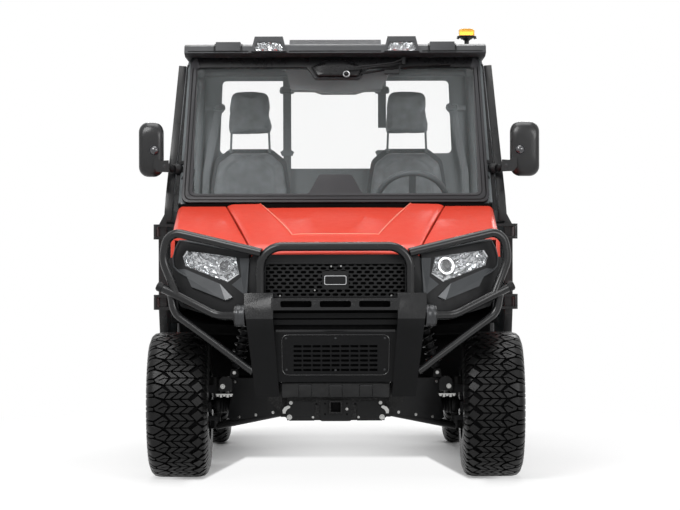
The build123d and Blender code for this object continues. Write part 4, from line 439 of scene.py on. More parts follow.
def add_tube(bm, path, radius, steps=16, flat=None):
    """A round (or flat = (half width, half thickness, up)) bar along a path, closed at both ends."""
    path = [Vector(p) for p in path]
    rings = []
    up = None
    for i, p in enumerate(path):
        run = (path[min(i + 1, len(path) - 1)] - path[max(i - 1, 0)]).normalized()
        if flat:
            side = run.cross(Vector(flat[2])).normalized()
            up = side.cross(run).normalized()
            w, t = flat[0], flat[1]
            offsets = ((w, -t), (w, t), (-w, t), (-w, -t))
            rings.append([bm.verts.new(p + side * a + up * b) for a, b in offsets])
            continue
        if up is None:
            side, up = ring_frame(run)
        else:
            up = (up - run * up.dot(run)).normalized()
            side = run.cross(up).normalized()
        rings.append(circle(bm, p, side, up, radius, steps))
    add_skin(bm, rings)


def add_bolt(bm, place, axis, radius=0.008, head=0.006, washer=True):
    """A hexagon head on its washer."""
    d = Vector(axis).normalized()
    place = Vector(place)
    if washer:
        add_lathe(bm, ((0, 0), (0, radius * 1.45), (0.0016, radius * 1.45), (0.0016, 0)), place, d, 20, False)
    side, up = ring_frame(d)
    add_skin(bm, [circle(bm, place + d * along, side, up, r, 6)
                  for along, r in ((0.0012, radius), (head * 0.8, radius), (head, radius * 0.82))])


# ---------------------------------------------------------------- wheels
TREAD_R = 0.3125
PITCHES = 32
PITCH = 2 * math.pi * TREAD_R / PITCHES
TREAD_PHASE = math.radians(9.4)
GROOVE_R = 0.292
# half the width of the grooves across the tread and of those along it
CROSS_GROOVE = 0.0023
ROW_GROOVE = 0.0048
CARCASS = ((0.0, 0.3055), (0.05, 0.3050), (0.085, 0.3035), (0.105, 0.2990), (0.118, 0.2900), (0.1265, 0.2760),
           (0.1300, 0.2580), (0.1305, 0.2380), (0.1285, 0.2180), (0.1235, 0.1990), (0.1180, 0.1880),
           (0.1185, 0.1840), (0.1150, 0.1760), (0.1095, 0.1700), (0.1040, 0.1640), (0.1010, 0.1602))
BLOCK_TOP = ((0.0, 0.3175), (0.06, 0.3172), (0.09, 0.3160), (0.108, 0.3110), (0.121, 0.2990),
             (0.1295, 0.2820), (0.1322, 0.2650))


def along_curve(curve, x):
    """The radius of a half profile at a distance from the wheel's centre plane."""
    x = abs(x)
    for (x0, r0), (x1, r1) in zip(curve, curve[1:]):
        if x <= x1:
            return r0 + (r1 - r0) * (x - x0) / max(x1 - x0, 1e-9)
    return curve[-1][1]


def add_tread_block(bm, stations, turn, sink=0.006):
    """A rubber block: stations are (x, start, end) across the tread, its sides leaning a little."""
    rings = []
    for x, start, end in stations:
        top = along_curve(BLOCK_TOP, x)
        base = along_curve(CARCASS, x) - sink
        lean = 0.0014
        ring = []
        for s, r in ((start - lean, base), (start, top - 0.0012), (start + 0.0012, top),
                     (end - 0.0012, top), (end, top - 0.0012), (end + lean, base)):
            a = turn + s / TREAD_R
            ring.append(bm.verts.new((x, -r * math.sin(a), r * math.cos(a))))
        rings.append(ring)
    add_skin(bm, rings)


def add_tread_tile(bm, outline, turn):
    """A flat-topped rubber tile: its outline is (x, along the tread), its edge a little chamfered."""
    mid_x = sum(x for x, s in outline) / len(outline)
    mid_s = sum(s for x, s in outline) / len(outline)
    rings = []
    for spread, drop in ((1.05, None), (1.0, 0.0014), (0.95, 0.0)):
        ring = []
        for x, s in outline:
            x = mid_x + (x - mid_x) * spread
            r = along_curve(CARCASS, x) - 0.006 if drop is None else along_curve(BLOCK_TOP, x) - drop
            angle = turn + (mid_s + (s - mid_s) * spread) / TREAD_R
            ring.append(bm.verts.new((x, -r * math.sin(angle), r * math.cos(angle))))
        rings.append(ring)
    add_skin(bm, rings)


# zigzag grooves across the tread: where each bends, near the vehicle's middle and away from it
ZIGZAG = ((-0.085, -0.056), (-0.051, -0.017), (-0.013, 0.021), (0.026, 0.051))
# the shoulder tiles: a rhombus with a slit on the outer side, a plain one on the inner side
OUTER_RHOMBUS = ((0.0340, -0.0035), (0.0570, -0.0180), (0.0940, 0.0065), (0.0860, 0.0190), (0.0520, 0.0290),
                 (0.0350, 0.0050), (0.0490, 0.0020), (0.0740, 0.0135), (0.0765, 0.0085), (0.0515, -0.0030),
                 (0.0355, 0.0000))
INNER_RHOMBUS = ((-0.1160, -0.0205), (-0.0955, -0.0450), (-0.0655, -0.0235), (-0.0895, 0.0020))
SHOULDER = (
    # the lug between two outer rhombi, and the rhombus's foot over the shoulder
    ((0.0630, -0.0265, -0.0215), (0.0860, -0.0350, -0.0065), (0.0980, -0.0370, 0.0000),
     (0.1080, -0.0365, -0.0005), (0.1210, -0.0355, -0.0020), (0.1310, -0.0335, -0.0040)),
    ((0.0970, 0.0085, 0.0165), (0.1080, 0.0060, 0.0190), (0.1210, 0.0045, 0.0200), (0.1310, 0.0050, 0.0185)),
    # the same on the inner side
    ((-0.1310, 0.0000, 0.0225), (-0.1210, -0.0010, 0.0235), (-0.1080, 0.0010, 0.0200),
     (-0.0960, 0.0080, 0.0105)),
    ((-0.1310, -0.0310, -0.0090), (-0.1210, -0.0310, -0.0085), (-0.1130, -0.0270, -0.0150)),
)


def tyre_mesh():
    """Carcass with an all-terrain tread: arrow tiles in the middle, rhombi and lugs on the shoulders."""
    bm = bmesh.new()
    profile = [(-x, r) for x, r in reversed(CARCASS)] + list(CARCASS[1:])
    add_lathe(bm, profile, (0, 0, 0), (1, 0, 0), 96)
    for f in bm.faces:
        # painted shade: the carcass between the blocks, down in the grooves, takes the near-black shade
        # colour
        centre = f.calc_center_median()
        if math.hypot(centre.y, centre.z) > GROOVE_R:
            f.material_index = 1
    for step in range(PITCHES):
        turn = TREAD_PHASE + step * 2 * math.pi / PITCHES
        # three rows of arrows that point to the vehicle's middle
        for (bend0, far0), (bend1, far1) in zip(ZIGZAG, ZIGZAG[1:]):
            for half in (1, -1):
                near = half * CROSS_GROOVE
                end = half * (0.5 * PITCH - CROSS_GROOVE)
                outline = [(bend0 + ROW_GROOVE, near), (bend1 - ROW_GROOVE, near), (far1 - ROW_GROOVE, end),
                           (far0 + ROW_GROOVE, end)]
                add_tread_tile(bm, outline[::half], turn)
        add_tread_tile(bm, OUTER_RHOMBUS, turn)
        add_tread_tile(bm, INNER_RHOMBUS, turn)
        for stations in SHOULDER:
            add_tread_block(bm, stations, turn)
    # raised rings on the sidewalls
    for side in (1, -1):
        for r, x in ((0.2300, 0.1288), (0.2040, 0.1238)):
            add_lathe(bm, ((side * (x - 0.004), r - 0.003), (side * (x + 0.0022), r - 0.0016),
                           (side * (x + 0.0022), r + 0.0016), (side * (x - 0.004), r + 0.003)),
                      (0, 0, 0), (1, 0, 0), 96)
    return bm


RIM_LIP = ((0.112, 0.1600), (0.1205, 0.1600), (0.1225, 0.1640), (0.1215, 0.1680), (0.1185, 0.1690),
           (0.1165, 0.1650), (0.112, 0.1630))


def rim_mesh():
    """The CAD wheel with its edges rounded and a rolled lip on each side."""
    bm = welded("rim_front_left", (-WHEEL_X, -FRONT_AXLE_Y, -AXLE_Z))
    bevel(bm, 0.0012, 30)
    for side in (1, -1):
        add_lathe(bm, [(side * x, r) for x, r in RIM_LIP], (0, 0, 0), (1, 0, 0), 72)
    return bm


def hub_mesh():
    """Hub cap, four wheel nuts and the valve's stem."""
    bm = bmesh.new()
    add_lathe(bm, ((0.050, 0), (0.050, 0.033), (0.070, 0.031), (0.076, 0.026), (0.078, 0)), (0, 0, 0),
              (1, 0, 0), 40, False)
    for k in range(4):
        a = math.radians(45 + 90 * k)
        add_bolt(bm, (0.058, 0.050 * math.cos(a), 0.050 * math.sin(a)), (1, 0, 0), 0.0105, 0.018)
    add_tube(bm, ((0.078, 0.0, 0.140), (0.094, 0.0, 0.134), (0.108, 0.0, 0.132)), 0.0045, 10)
    return bm


for end, axle_y in (("front", FRONT_AXLE_Y), ("rear", REAR_AXLE_Y)):
    for side, sign in SIDES:
        body = f"wheel_{end}_{side}"
        place = Matrix.Translation((sign * WHEEL_X, axle_y, AXLE_Z))
        if sign < 0:
            # the right wheels are mirror images of the left ones
            place = place @ Matrix.Scale(-1, 4, (1, 0, 0))
        for label, build, mat, node, slot in (("tyre", tyre_mesh, (RUBBER, SHADOW), "tyre", "tyre_rubber"),
                                              ("rim", rim_mesh, RIM_PAINT, "rim", "rim_steel"),
                                              ("hub", hub_mesh, ZINC, None, "shaft_steel")):
            shape = build()
            bmesh.ops.transform(shape, matrix=place, verts=shape.verts)
            if sign < 0:
                bmesh.ops.reverse_faces(shape, faces=shape.faces)
            piece(f"{label}_{end}_{side}_detail", shape, mat, body,
                  (f"{node}_{end}_{side}",) if node else (), weld=False)

# ---------------------------------------------------------------- bonnet and wings
COWL_Y = -0.698
HOOD_FRONT_Y = -1.370
CREASE_FRONT_Y = -1.205
COWL_Z = 1.195
BONNET_SLOPE = 0.30
# half widths at the front and at the cowl: the bonnet's edge, and the crease round its sunken middle
EDGE_HALF = (0.356, 0.490)
CREASE_HALF = (0.188, 0.341)


def bonnet_z(y):
    """The height of the straight line that the bonnet follows."""
    return COWL_Z + BONNET_SLOPE * (y - COWL_Y)


def eased(t):
    """0 to 1 with a soft start and end."""
    t = min(1.0, max(0.0, t))
    return t * t * (3 - 2 * t)


def hood_point(side, column, y):
    """One point of the bonnet: column 0-1 reaches the crease, 1-2 the shut line."""
    along = (y - HOOD_FRONT_Y) / (COWL_Y - HOOD_FRONT_Y)
    edge = EDGE_HALF[0] + along * (EDGE_HALF[1] - EDGE_HALF[0])
    crease_along = (y - CREASE_FRONT_Y) / (COWL_Y - CREASE_FRONT_Y)
    crease = CREASE_HALF[0] + crease_along * (CREASE_HALF[1] - CREASE_HALF[0])
    x = column * crease if column <= 1 else crease + (column - 1) * (edge - crease)
    sunken = eased((crease - x) / 0.021 + 0.02) * eased((y - CREASE_FRONT_Y) / 0.032)
    rolled = max(0.0, 1 - (y - HOOD_FRONT_Y) / 0.05) ** 2 * 0.024
    # a low bead along the crease's sides and front
    off = x - crease if y > CREASE_FRONT_Y else math.hypot(max(0.0, x - crease), y - CREASE_FRONT_Y)
    near = min(abs(off), abs(y - CREASE_FRONT_Y)) if x < crease else abs(off)
    bead = 0.0022 * math.exp(-(near / 0.006) ** 2)
    shoulder = max(0.0, (x - edge + 0.03) / 0.03) ** 2 * 0.009
    z = (bonnet_z(y) + 0.012 + 0.010 * math.sin(math.pi * along) - 0.019 * sunken - rolled - shoulder
         - 0.004 * (x / edge) ** 2 + bead)
    return Vector((side * x, y, z))


def hood_mesh():
    """A pressed bonnet: sunken middle with a crisp crease, rounded shoulders and folded edges."""
    bm = bmesh.new()
    columns = (0, 0.2, 0.4, 0.6, 0.78, 0.88, 0.91, 0.935, 0.955, 0.975, 0.988, 1.0, 1.02, 1.04, 1.07, 1.12,
               1.25, 1.4, 1.6, 1.75, 1.86, 1.93, 1.97, 2.0)
    ys = [HOOD_FRONT_Y + 0.05 * t for t in (0, 0.08, 0.2, 0.4, 0.65, 1.0)]
    ys += [-1.29, -1.26, -1.235] + [CREASE_FRONT_Y + d for d in (-0.014, -0.009, -0.006, -0.003, 0.0, 0.003,
                                                                 0.006, 0.010, 0.016, 0.023, 0.030, 0.036)]
    ys += [-1.15 + 0.056 * k for k in range(8)] + [COWL_Y - 0.006, COWL_Y]
    rows = []
    for y in ys:
        line = [hood_point(-1, c, y) for c in reversed(columns[1:])] + [hood_point(1, c, y) for c in columns]
        fold = [Vector((p.x * 1.001, p.y, p.z - d)) for d, p in ((0.022, line[0]), (0.008, line[0]))]
        fold_far = [Vector((p.x * 1.001, p.y, p.z - d)) for d, p in ((0.008, line[-1]), (0.022, line[-1]))]
        rows.append([bm.verts.new(p) for p in fold + line + fold_far])
    lip = [bm.verts.new(v.co + Vector((0, 0.002, -0.020))) for v in rows[0]]
    lip_back = [bm.verts.new(v.co + Vector((0, 0.016, -0.024))) for v in rows[0]]
    tail = [bm.verts.new(v.co + Vector((0, 0.002, -0.016))) for v in rows[-1]]
    bridge(bm, [lip_back, lip] + rows + [tail], closed=False)
    return bm


def thickened(obj, depth):
    """The sheet given a thickness, inwards from its outer face."""
    sheet = obj.modifiers.new("thickness", "SOLIDIFY")
    sheet.thickness = depth
    sheet.offset = -1
    return obj


thickened(piece("hood_panel", hood_mesh(), RED, replaces=("hood",), smooth=50), 0.0022)
# painted highlight: a thin tube of lighter red along the crease's sides and front, for the light that its
# bead catches
line = bmesh.new()
sides = [[hood_point(side, 1.0, COWL_Y - 0.004 + (CREASE_FRONT_Y - COWL_Y) * k / 12) for k in range(13)]
         for side in (-1, 1)]
front = [hood_point(side, c, CREASE_FRONT_Y) for side, shares in ((-1, (0.8, 0.5, 0.2)),
                                                                  (1, (0.0, 0.3, 0.6, 0.9)))
         for c in shares]
add_tube(line, [p + Vector((0, 0, 0.0006)) for p in sides[0] + front + sides[1][::-1]], 0.0027, 8)
piece("hood_crease_highlight", line, RED_HIGHLIGHT, smooth=60)
refined("front_fenders", RED, width=0.0045)
# painted shade: a near-black block that fills the shaded gap between the bonnet's rear edge and the
# windscreen
boxes("cowl_shade_cover", (((-0.712, -0.690, 1.150), (0.712, -0.656, 1.206)),), SHADOW,
      edge=0.004)

AXLE_POINT = Vector((0, FRONT_AXLE_Y, AXLE_Z))


def arch_sheet(bm, centre, radius, x_in, x_out, start, end, lip=0.0, steps=40):
    """A curved liner under a wheel arch; angles run from the front, over the top, to the rear."""
    lines = []
    for k in range(steps + 1):
        a = math.radians(start + (end - start) * k / steps)
        run = Vector((0, -math.cos(a), math.sin(a)))
        ripple = 0.003 if k % 8 in (3, 4) else 0.0
        points = [(x_in, radius - 0.016 - ripple), (x_out - 0.01, radius - ripple), (x_out, radius),
                  (x_out, radius + lip)]
        lines.append([bm.verts.new(centre + run * r + Vector((x, 0, 0))) for x, r in points])
    bridge(bm, lines, closed=False)


# painted shade: the front wheel liners take the near-black shade colour
for side, sign in SIDES:
    liner = bmesh.new()
    arch_sheet(liner, AXLE_POINT, 0.452, sign * 0.400, sign * 0.697, 54, 138)
    thickened(piece(f"wheel_liner_{side}", liner, SHADOW, smooth=50), 0.003)

# ---------------------------------------------------------------- nose
SWEEP = math.radians(22)
NOSE_LEAN = 0.16
NOSE_AT = Vector((0.400, -1.376, 0.860))
SWEPT = Vector((math.sin(SWEEP), -math.cos(SWEEP), NOSE_LEAN)).normalized()


def corner(x, z, out=0.0, side=1):
    """A point on (or in front of) the plane that holds a headlamp and its surround."""
    back = (math.sin(SWEEP) * (x - NOSE_AT.x) + NOSE_LEAN * (z - NOSE_AT.z)) / math.cos(SWEEP)
    return flipped(side, Vector((x, NOSE_AT.y + back, z)) + SWEPT * out)


def add_facet(bm, points, side, sink=-0.006):
    """A flat patch standing in front of the nose, with skirts back into it."""
    top = [bm.verts.new(corner(x, z, out, side)) for x, z, out in points]
    low = [bm.verts.new(corner(x, z, sink, side)) for x, z, out in points]
    bm.faces.new(top)
    bm.faces.new(low[::-1])
    for k in range(len(points)):
        m = (k + 1) % len(points)
        bm.faces.new((top[k], low[k], low[m], top[m]))


LAMP = ((0.643, 0.994), (0.661, 0.966), (0.648, 0.928), (0.462, 0.857), (0.410, 0.893), (0.426, 0.965),
        (0.534, 0.981))
LAMP_MID = (0.535, 0.928)


def shrunk(outline, mid, near, far=None):
    """An outline drawn in towards a point; the lower edge may come in by another amount."""
    far = near if far is None else far
    points = []
    for x, z in outline:
        share = far if z < mid[1] - 0.02 else near
        run = Vector((mid[0] - x, mid[1] - z)).normalized()
        points.append((x + run.x * share, z + run.y * share))
    return points


def inside(outline, x, z):
    """Whether a point lies within an outline, by the edges that a line from it crosses."""
    hit = False
    for (x0, z0), (x1, z1) in zip(outline, outline[1:] + outline[:1]):
        if (z0 > z) != (z1 > z) and x < (x1 - x0) * (z - z0) / (z1 - z0) + x0:
            hit = not hit
    return hit


def ring_between(bm, outer, inner, fronts, back, side):
    """A bezel: outer and inner outlines, each at its own depth, with walls to the back."""
    rows = [[bm.verts.new(corner(x, z, d, side)) for x, z in line]
            for line, d in ((outer, back), (outer, fronts[0]), (inner, fronts[1]), (inner, back))]
    bridge(bm, rows + rows[:1])


def reflector(bm, outline, side, step, deep, shallow, point, seed=3):
    """A field of small mirror facets: each vertex of the grid stands at its own depth."""
    rng = random.Random(seed)
    xs = [min(x for x, _ in outline) + step * k for k in range(60)]
    zs = [min(z for _, z in outline) + step * 0.8 * k for k in range(60)]
    xs = [x for x in xs if x < max(x for x, _ in outline) + step]
    zs = [z for z in zs if z < max(z for _, z in outline) + step]
    grid = [[(x + rng.uniform(-0.3, 0.3) * step, z + rng.uniform(-0.3, 0.3) * step,
              rng.uniform(deep, shallow))
             for z in zs] for x in xs]
    verts = {}
    for i in range(len(xs) - 1):
        for j in range(len(zs) - 1):
            if not inside(outline, xs[i] + step / 2, zs[j] + step / 2):
                continue
            quad = []
            for a, b in ((i, j), (i + 1, j), (i + 1, j + 1), (i, j + 1)):
                if (a, b) not in verts:
                    verts[a, b] = bm.verts.new(point(*grid[a][b], side))
                quad.append(verts[a, b])
            bm.faces.new(quad[:3])
            bm.faces.new((quad[0], quad[2], quad[3]))


nose = refined("front_fascia", MOULDED, width=0.003)
for v in nose.data.vertices:
    # the bonnet's front edge shows above the nose
    if v.co.z > 0.977 and abs(v.co.x) < 0.374 and v.co.y < -1.36:
        v.co.z -= 0.0095
for side, sign in SIDES:
    lamp_inner = shrunk(LAMP, LAMP_MID, 0.005, 0.0115)
    bowl = bmesh.new()
    reflector(bowl, shrunk(LAMP, LAMP_MID, 0.002), sign, 0.0115, -0.040, -0.024, corner)
    piece(f"lamp_reflector_{side}", bowl, CHROME, smooth=1)
    bezel = bmesh.new()
    ring_between(bezel, shrunk(LAMP, LAMP_MID, 0.0008), lamp_inner, (-0.005, -0.010), -0.045, sign)
    piece(f"lamp_bezel_{side}", bezel, CHROME, replaces=("headlamps",), smooth=20)
    eye = bmesh.new()
    centre = corner(0.4847, 0.9300, -0.034, sign)
    out = flipped(sign, SWEPT)
    add_lathe(eye, ((0, 0.021), (0.016, 0.021), (0.019, 0.024), (0.016, 0.027), (0, 0.027)), centre, out, 40)
    for reach in (0.031, 0.036):
        add_lathe(eye, ((0, reach - 0.0012), (0.010, reach - 0.0012), (0.010, reach + 0.0012),
                        (0, reach + 0.0012)),
                  centre, out, 40)
    piece(f"lamp_rings_{side}", eye, CHROME, smooth=40)
    ball = bmesh.new()
    add_lathe(ball, ((0, 0), (0, 0.0205), (0.010, 0.0190), (0.016, 0.0140), (0.0195, 0.0070), (0.0205, 0)),
              centre, out, 32, False)
    add_lathe(ball, ((-0.004, 0.028), (0.002, 0.045), (-0.004, 0.045)), centre, out, 32)
    piece(f"lamp_projector_{side}", ball, DARK_LENS, smooth=50)
    cover = bmesh.new()
    rim_line = [cover.verts.new(corner(x, z, -0.0045, sign)) for x, z in shrunk(LAMP, LAMP_MID, 0.001)]
    inner_line = [cover.verts.new(corner(x, z, -0.0005, sign)) for x, z in shrunk(LAMP, LAMP_MID, 0.022)]
    bridge(cover, (rim_line, inner_line))
    cover.faces.new(inner_line)
    thickened(piece(f"lamp_cover_{side}", cover, LENS, smooth=30), 0.0018)

    # black end of the wing beside the lamp surround
    tip = bmesh.new()
    add_prism(tip, ((0.690, 0.968), (0.7185, 0.962), (0.7185, 0.742), (0.676, 0.742)), -0.078, 0.076,
              lambda u, v, w, s=sign: corner(u, v, w, s))
    bevel(tip, 0.003, 40)
    piece(f"wing_trim_{side}", tip, MOULDED, smooth=35)

    # light grey panels under and beside the lamp, a small facet under the lamp painted light grey as a
    # highlight, and the ridge over the lamp, whose lighter grey is a painted highlight line
    panel = bmesh.new()
    add_facet(panel, ((0.6931, 0.9105, 0.001), (0.6340, 0.8763, 0.009), (0.6116, 0.8357, 0.014),
                      (0.4660, 0.7800, 0.016), (0.4910, 0.8500, 0.002), (0.6490, 0.9149, 0.0005)), sign)
    add_facet(panel, ((0.4415, 0.8472, 0.001), (0.4010, 0.8800, 0.001), (0.4085, 0.9600, 0.001),
                      (0.3640, 0.9580, 0.009), (0.3700, 0.8140, 0.013), (0.3830, 0.8040, 0.013)), sign)
    bevel(panel, 0.0025, 12)
    piece(f"nose_panel_{side}", panel, MOULDED_LIGHT, smooth=20)
    # painted highlight: the light grey facet under the lamp
    blade = bmesh.new()
    add_facet(blade, ((0.4940, 0.8520, 0.003), (0.4640, 0.7790, 0.0165), (0.4350, 0.7930, 0.010)), sign)
    piece(f"nose_highlight_facet_{side}", blade, PANEL_HIGHLIGHT, smooth=20)
    # painted highlight: the ridge over the lamp is light grey to show the line of light along it
    ridge = bmesh.new()
    add_tube(ridge, [corner(x, z, out, sign) for x, z, out in
                     ((0.343, 0.976, 0.001), (0.50, 1.007, 0.003), (0.655, 1.036, 0.003),
                      (0.671, 1.036, 0.003),
                      (0.690, 1.000, 0.003), (0.700, 0.960, 0.003), (0.696, 0.925, 0.003),
                      (0.672, 0.900, 0.004), (0.636, 0.8800, 0.008))], 0.0032, 10)
    piece(f"nose_ridge_highlight_{side}", ridge, MOULDED_LIGHT, smooth=60)

# grille: a plate of stretched hexagon openings
GRILLE_HALF = 0.300
GRILLE_LOW_Z = 0.798
GRILLE_TOP_Z = 0.939
CELL_WIDTH = 0.034
CELL_HEIGHT = 0.016
PLATE_Z = 0.866
PLATE_CLEAR = (0.052, 0.047)


def grille_mesh():
    """Rows of cells, each a hexagon tile with a hexagon hole, left out behind the blank plate."""
    bm = bmesh.new()
    tile = ((0, 0.667), (0.5, 0.333), (0.5, -0.333), (0, -0.667), (-0.5, -0.333), (-0.5, 0.333))
    hole = ((0.24, 0.33), (0.385, 0), (0.24, -0.33), (-0.24, -0.33), (-0.385, 0), (-0.24, 0.33))
    faces = ((0, 1, 6), (0, 6, 11), (1, 7, 6), (1, 2, 7), (2, 8, 7), (2, 3, 8), (3, 9, 8), (3, 4, 9),
             (4, 10, 9), (4, 5, 10), (5, 11, 10), (5, 0, 11))
    for row in range(9):
        z = GRILLE_LOW_Z + 0.006 + row * CELL_HEIGHT
        for step in range(-9, 10):
            x = (step + (0.5 if row % 2 else 0)) * CELL_WIDTH
            behind_plate = (x / PLATE_CLEAR[0]) ** 2 + ((z - PLATE_Z) / PLATE_CLEAR[1]) ** 2 < 1
            if abs(x) > GRILLE_HALF - 0.004 or behind_plate:
                continue
            places = [(x + u * CELL_WIDTH, z + v * CELL_HEIGHT) for u, v in tile + hole]
            ring = [[bm.verts.new((u, y, v)) for u, v in places] for y in (-1.3815, -1.372)]
            for face in faces:
                bm.faces.new([ring[0][k] for k in face])
                bm.faces.new([ring[1][k] for k in reversed(face)])
            for k in range(6):
                m = 6 + (k + 1) % 6
                bm.faces.new((ring[0][6 + k], ring[0][m], ring[1][m], ring[1][6 + k]))
    bmesh.ops.remove_doubles(bm, verts=bm.verts, dist=1e-4)
    bevel(bm, 0.0011, 60, 1)
    return bm


piece("grille_honeycomb", grille_mesh(), GRILLE_BLACK, replaces=("grille_mesh",),
      smooth=40, weld=False)
# painted shade: a near-black sheet behind the honeycomb, where there is only shade
boxes("grille_shade_sheet", (((-GRILLE_HALF, -1.368, GRILLE_LOW_Z), (GRILLE_HALF, -1.3665, GRILLE_TOP_Z)),),
      SHADOW, smooth=32)
frame_ring = bmesh.new()
add_tube(frame_ring, rounded_path([(x, -1.3895, z) for x, z in
                                   ((-0.299, 0.802), (-0.299, 0.937), (0.299, 0.937), (0.299, 0.802))], 0.02),
         0.0035, 8)
add_box(frame_ring, (-GRILLE_HALF, -1.3885, 0.937), (GRILLE_HALF, -1.3815, 0.9415))
piece("grille_edge", frame_ring, MOULDED, smooth=50)


def blank_plate(half_width, half_height, y, depth):
    """A plain oblong plate on the grille, left bare."""
    bm = bmesh.new()
    add_prism(bm, rounded_rect(half_width, half_height, half_height * 0.35, 5), y, depth,
              lambda u, v, w: (u, w, PLATE_Z + v))
    bevel(bm, 0.001, 30)
    return bm


for label, size, material, slot in (
        ("seat", (0.0560, 0.0390, -1.3830, 0.014), GRILLE_BLACK, "moulded_black"),
        ("edge", (0.0470, 0.0195, -1.3910, 0.012), SATIN_SILVER, "shaft_steel"),
        ("face", (0.0445, 0.0170, -1.3925, 0.010), TRIM, "trim_black")):
    piece(f"blank_plate_{label}", blank_plate(*size), material, smooth=30)
studs = bmesh.new()
for x, z in ((-0.018, 0.925), (0.024, 0.926), (-0.088, 0.823), (-0.236, 0.800), (0.238, 0.800)):
    add_bolt(studs, (x, -1.3885 if z > 0.91 or z < 0.81 else -1.3825, z), (0, -1, 0), 0.0024, 0.003)
piece("grille_studs", studs, ZINC, smooth=30)

# ---------------------------------------------------------------- bull bar
bar = welded("bull_bar")
# the lowest corners that run fore and aft are rounded off
corners = []
for e in bar.edges:
    run = e.verts[1].co - e.verts[0].co
    if max(v.co.z for v in e.verts) < 0.425 and run.length > 0.004 and abs(run.normalized().y) > 0.9:
        if len(e.link_faces) == 2 and e.calc_face_angle(0.0) > 1.0:
            corners.append(e)
bmesh.ops.bevel(bar, geom=corners, offset=0.020, segments=5, profile=0.5, affect="EDGES", clamp_overlap=True)
bevel(bar, 0.0052, 30, 3)
finished = piece("bull_bar_finished", bar, (BAR, BAR_SHADE), VEHICLE, ("bull_bar",), smooth=40)
for face in finished.data.polygons:
    # painted shade: the posts and the guard plate below their bend, which face down out of the light, take
    # the darker copy of the powder coat
    if face.center.z < 0.690 and abs(face.center.x) < 0.338:
        face.material_index = 1
guard = bmesh.new()
loop = rounded_path([(x, -1.4712, z) for x, z in ((0, 0.4665), (0.224, 0.4665), (0.228, 0.636),
                                                  (-0.228, 0.636), (-0.224, 0.4665), (0, 0.4665))], 0.03, 6)
add_tube(guard, loop, 0.0028, 8)
add_tube(guard, ((-0.252, -1.4690, 0.6530), (0.252, -1.4690, 0.6530)), 0.0050, 10)
piece("guard_frame", guard, BAR, smooth=40)
# painted shade: near-black sheets behind the intake's vents and slats, where there is only shade
boxes("intake_shade_sheet", (((-0.262, -1.4475, 0.655), (0.262, -1.4440, 0.741)),
                         ((-0.262, -1.4530, 0.741), (0.262, -1.4500, 0.794))), SHADOW, smooth=20)
# painted shade: the slats in the dark intake take the darker copy of the powder coat
slats = bmesh.new()
for z in (0.7170, 0.6890):
    add_tube(slats, ((-0.268, -1.4540, z), (0.268, -1.4540, z)), 0, 12, flat=(0.0105, 0.0062, (0, -1, 0)))
bevel(slats, 0.004, 40, 3)
piece("intake_slats", slats, BAR_SHADE, smooth=50)
# painted shade: a near-black sheet behind the guard's frame, where there is only shade
boxes("guard_shade_sheet", (((-0.230, -1.4565, 0.437), (0.230, -1.4545, 0.648)),), SHADOW, smooth=20)
bolts = bmesh.new()
for x, z in ((0.209, 0.622), (0.207, 0.489), (0.0, 0.622), (0.0, 0.487)):
    for sign in ((1, -1) if x else (1,)):
        add_bolt(bolts, (sign * x, -1.4702, z), (0, -1, 0), 0.0032, 0.004)
piece("guard_bolts", bolts, COLLAR, smooth=30)
for side, sign in SIDES:
    collar = bmesh.new()
    axis = Vector((sign, 0.13, 0)).normalized()
    add_lathe(collar, ((-0.002, 0), (-0.002, 0.0462), (0.003, 0.0475), (0.010, 0.0475), (0.013, 0.0462),
                       (0.024, 0.0462), (0.026, 0.0470), (0.036, 0.0470), (0.040, 0.0445), (0.042, 0.022),
                       (0.042, 0)), (sign * 0.381, -1.4545, 0.717), axis, 48, False)
    piece(f"bar_collar_{side}", collar, COLLAR, smooth=35)
    cap = bmesh.new()
    tip = Vector((sign * 0.757, -1.330, 0.842))
    run = (tip - Vector((sign * 0.505, -1.390, 0.717))).normalized()
    add_lathe(cap, ((-0.018, 0.0196), (-0.018, 0.0212), (0.004, 0.0212), (0.0085, 0.018), (0.010, 0.008),
                    (0.010, 0)), tip - run * 0.004, run, 32, False)
    piece(f"bar_cap_{side}", cap, MOULDED, smooth=40)

# skid sheet with its pressed ribs and fixings
refined("skid_plate", DARK_PLATE, width=0.0012)
ribs = bmesh.new()


def skid_z(y):
    """The height of the skid sheet's sloping front."""
    return 0.425 + (y + 1.410) / 0.078 * (0.3637 - 0.425)


SKID_OUT = Vector((0, -0.618, -0.786))
# painted highlight: the three pressed ribs and the thin lines below them are a lighter grey than the sheet,
# for the light that their edges catch
for x in (-0.130, 0.0, 0.130):
    start, end = (Vector((0, y, skid_z(y))) + SKID_OUT * 0.0012 for y in (-1.402, -1.340))
    add_tube(ribs, [start + Vector((x - 0.026, 0, 0)), start + Vector((x + 0.026, 0, 0))], 0.0024, 8)
    for offset in (-0.028, 0.028):
        add_tube(ribs, [start + Vector((x + offset, 0, 0)), end + Vector((x + offset, 0, 0))], 0.0013, 6)
piece("skid_ribs", ribs, COLLAR, smooth=60)
plates = bmesh.new()
for outline, y, z in ((rounded_rect(0.067, 0.046, 0.008, 4), -1.2840, 0.305),
                      (rounded_rect(0.031, 0.0265, 0.003, 3), -1.2890, 0.315)):
    add_prism(plates, [(u, z + v) for u, v in outline], y, 0.004, upright)
for sign in (1, -1):
    outline = [(sign * x, z) for x, z in ((0.092, 0.2610), (0.092, 0.335), (0.106, 0.345), (0.172, 0.345),
                                          (0.210, 0.300), (0.212, 0.272), (0.198, 0.2610))]
    add_prism(plates, outline, -1.2830, 0.003, upright)
bevel(plates, 0.0009, 40, 2)
piece("crossmember_plates", plates, DARK_PLATE, smooth=35)
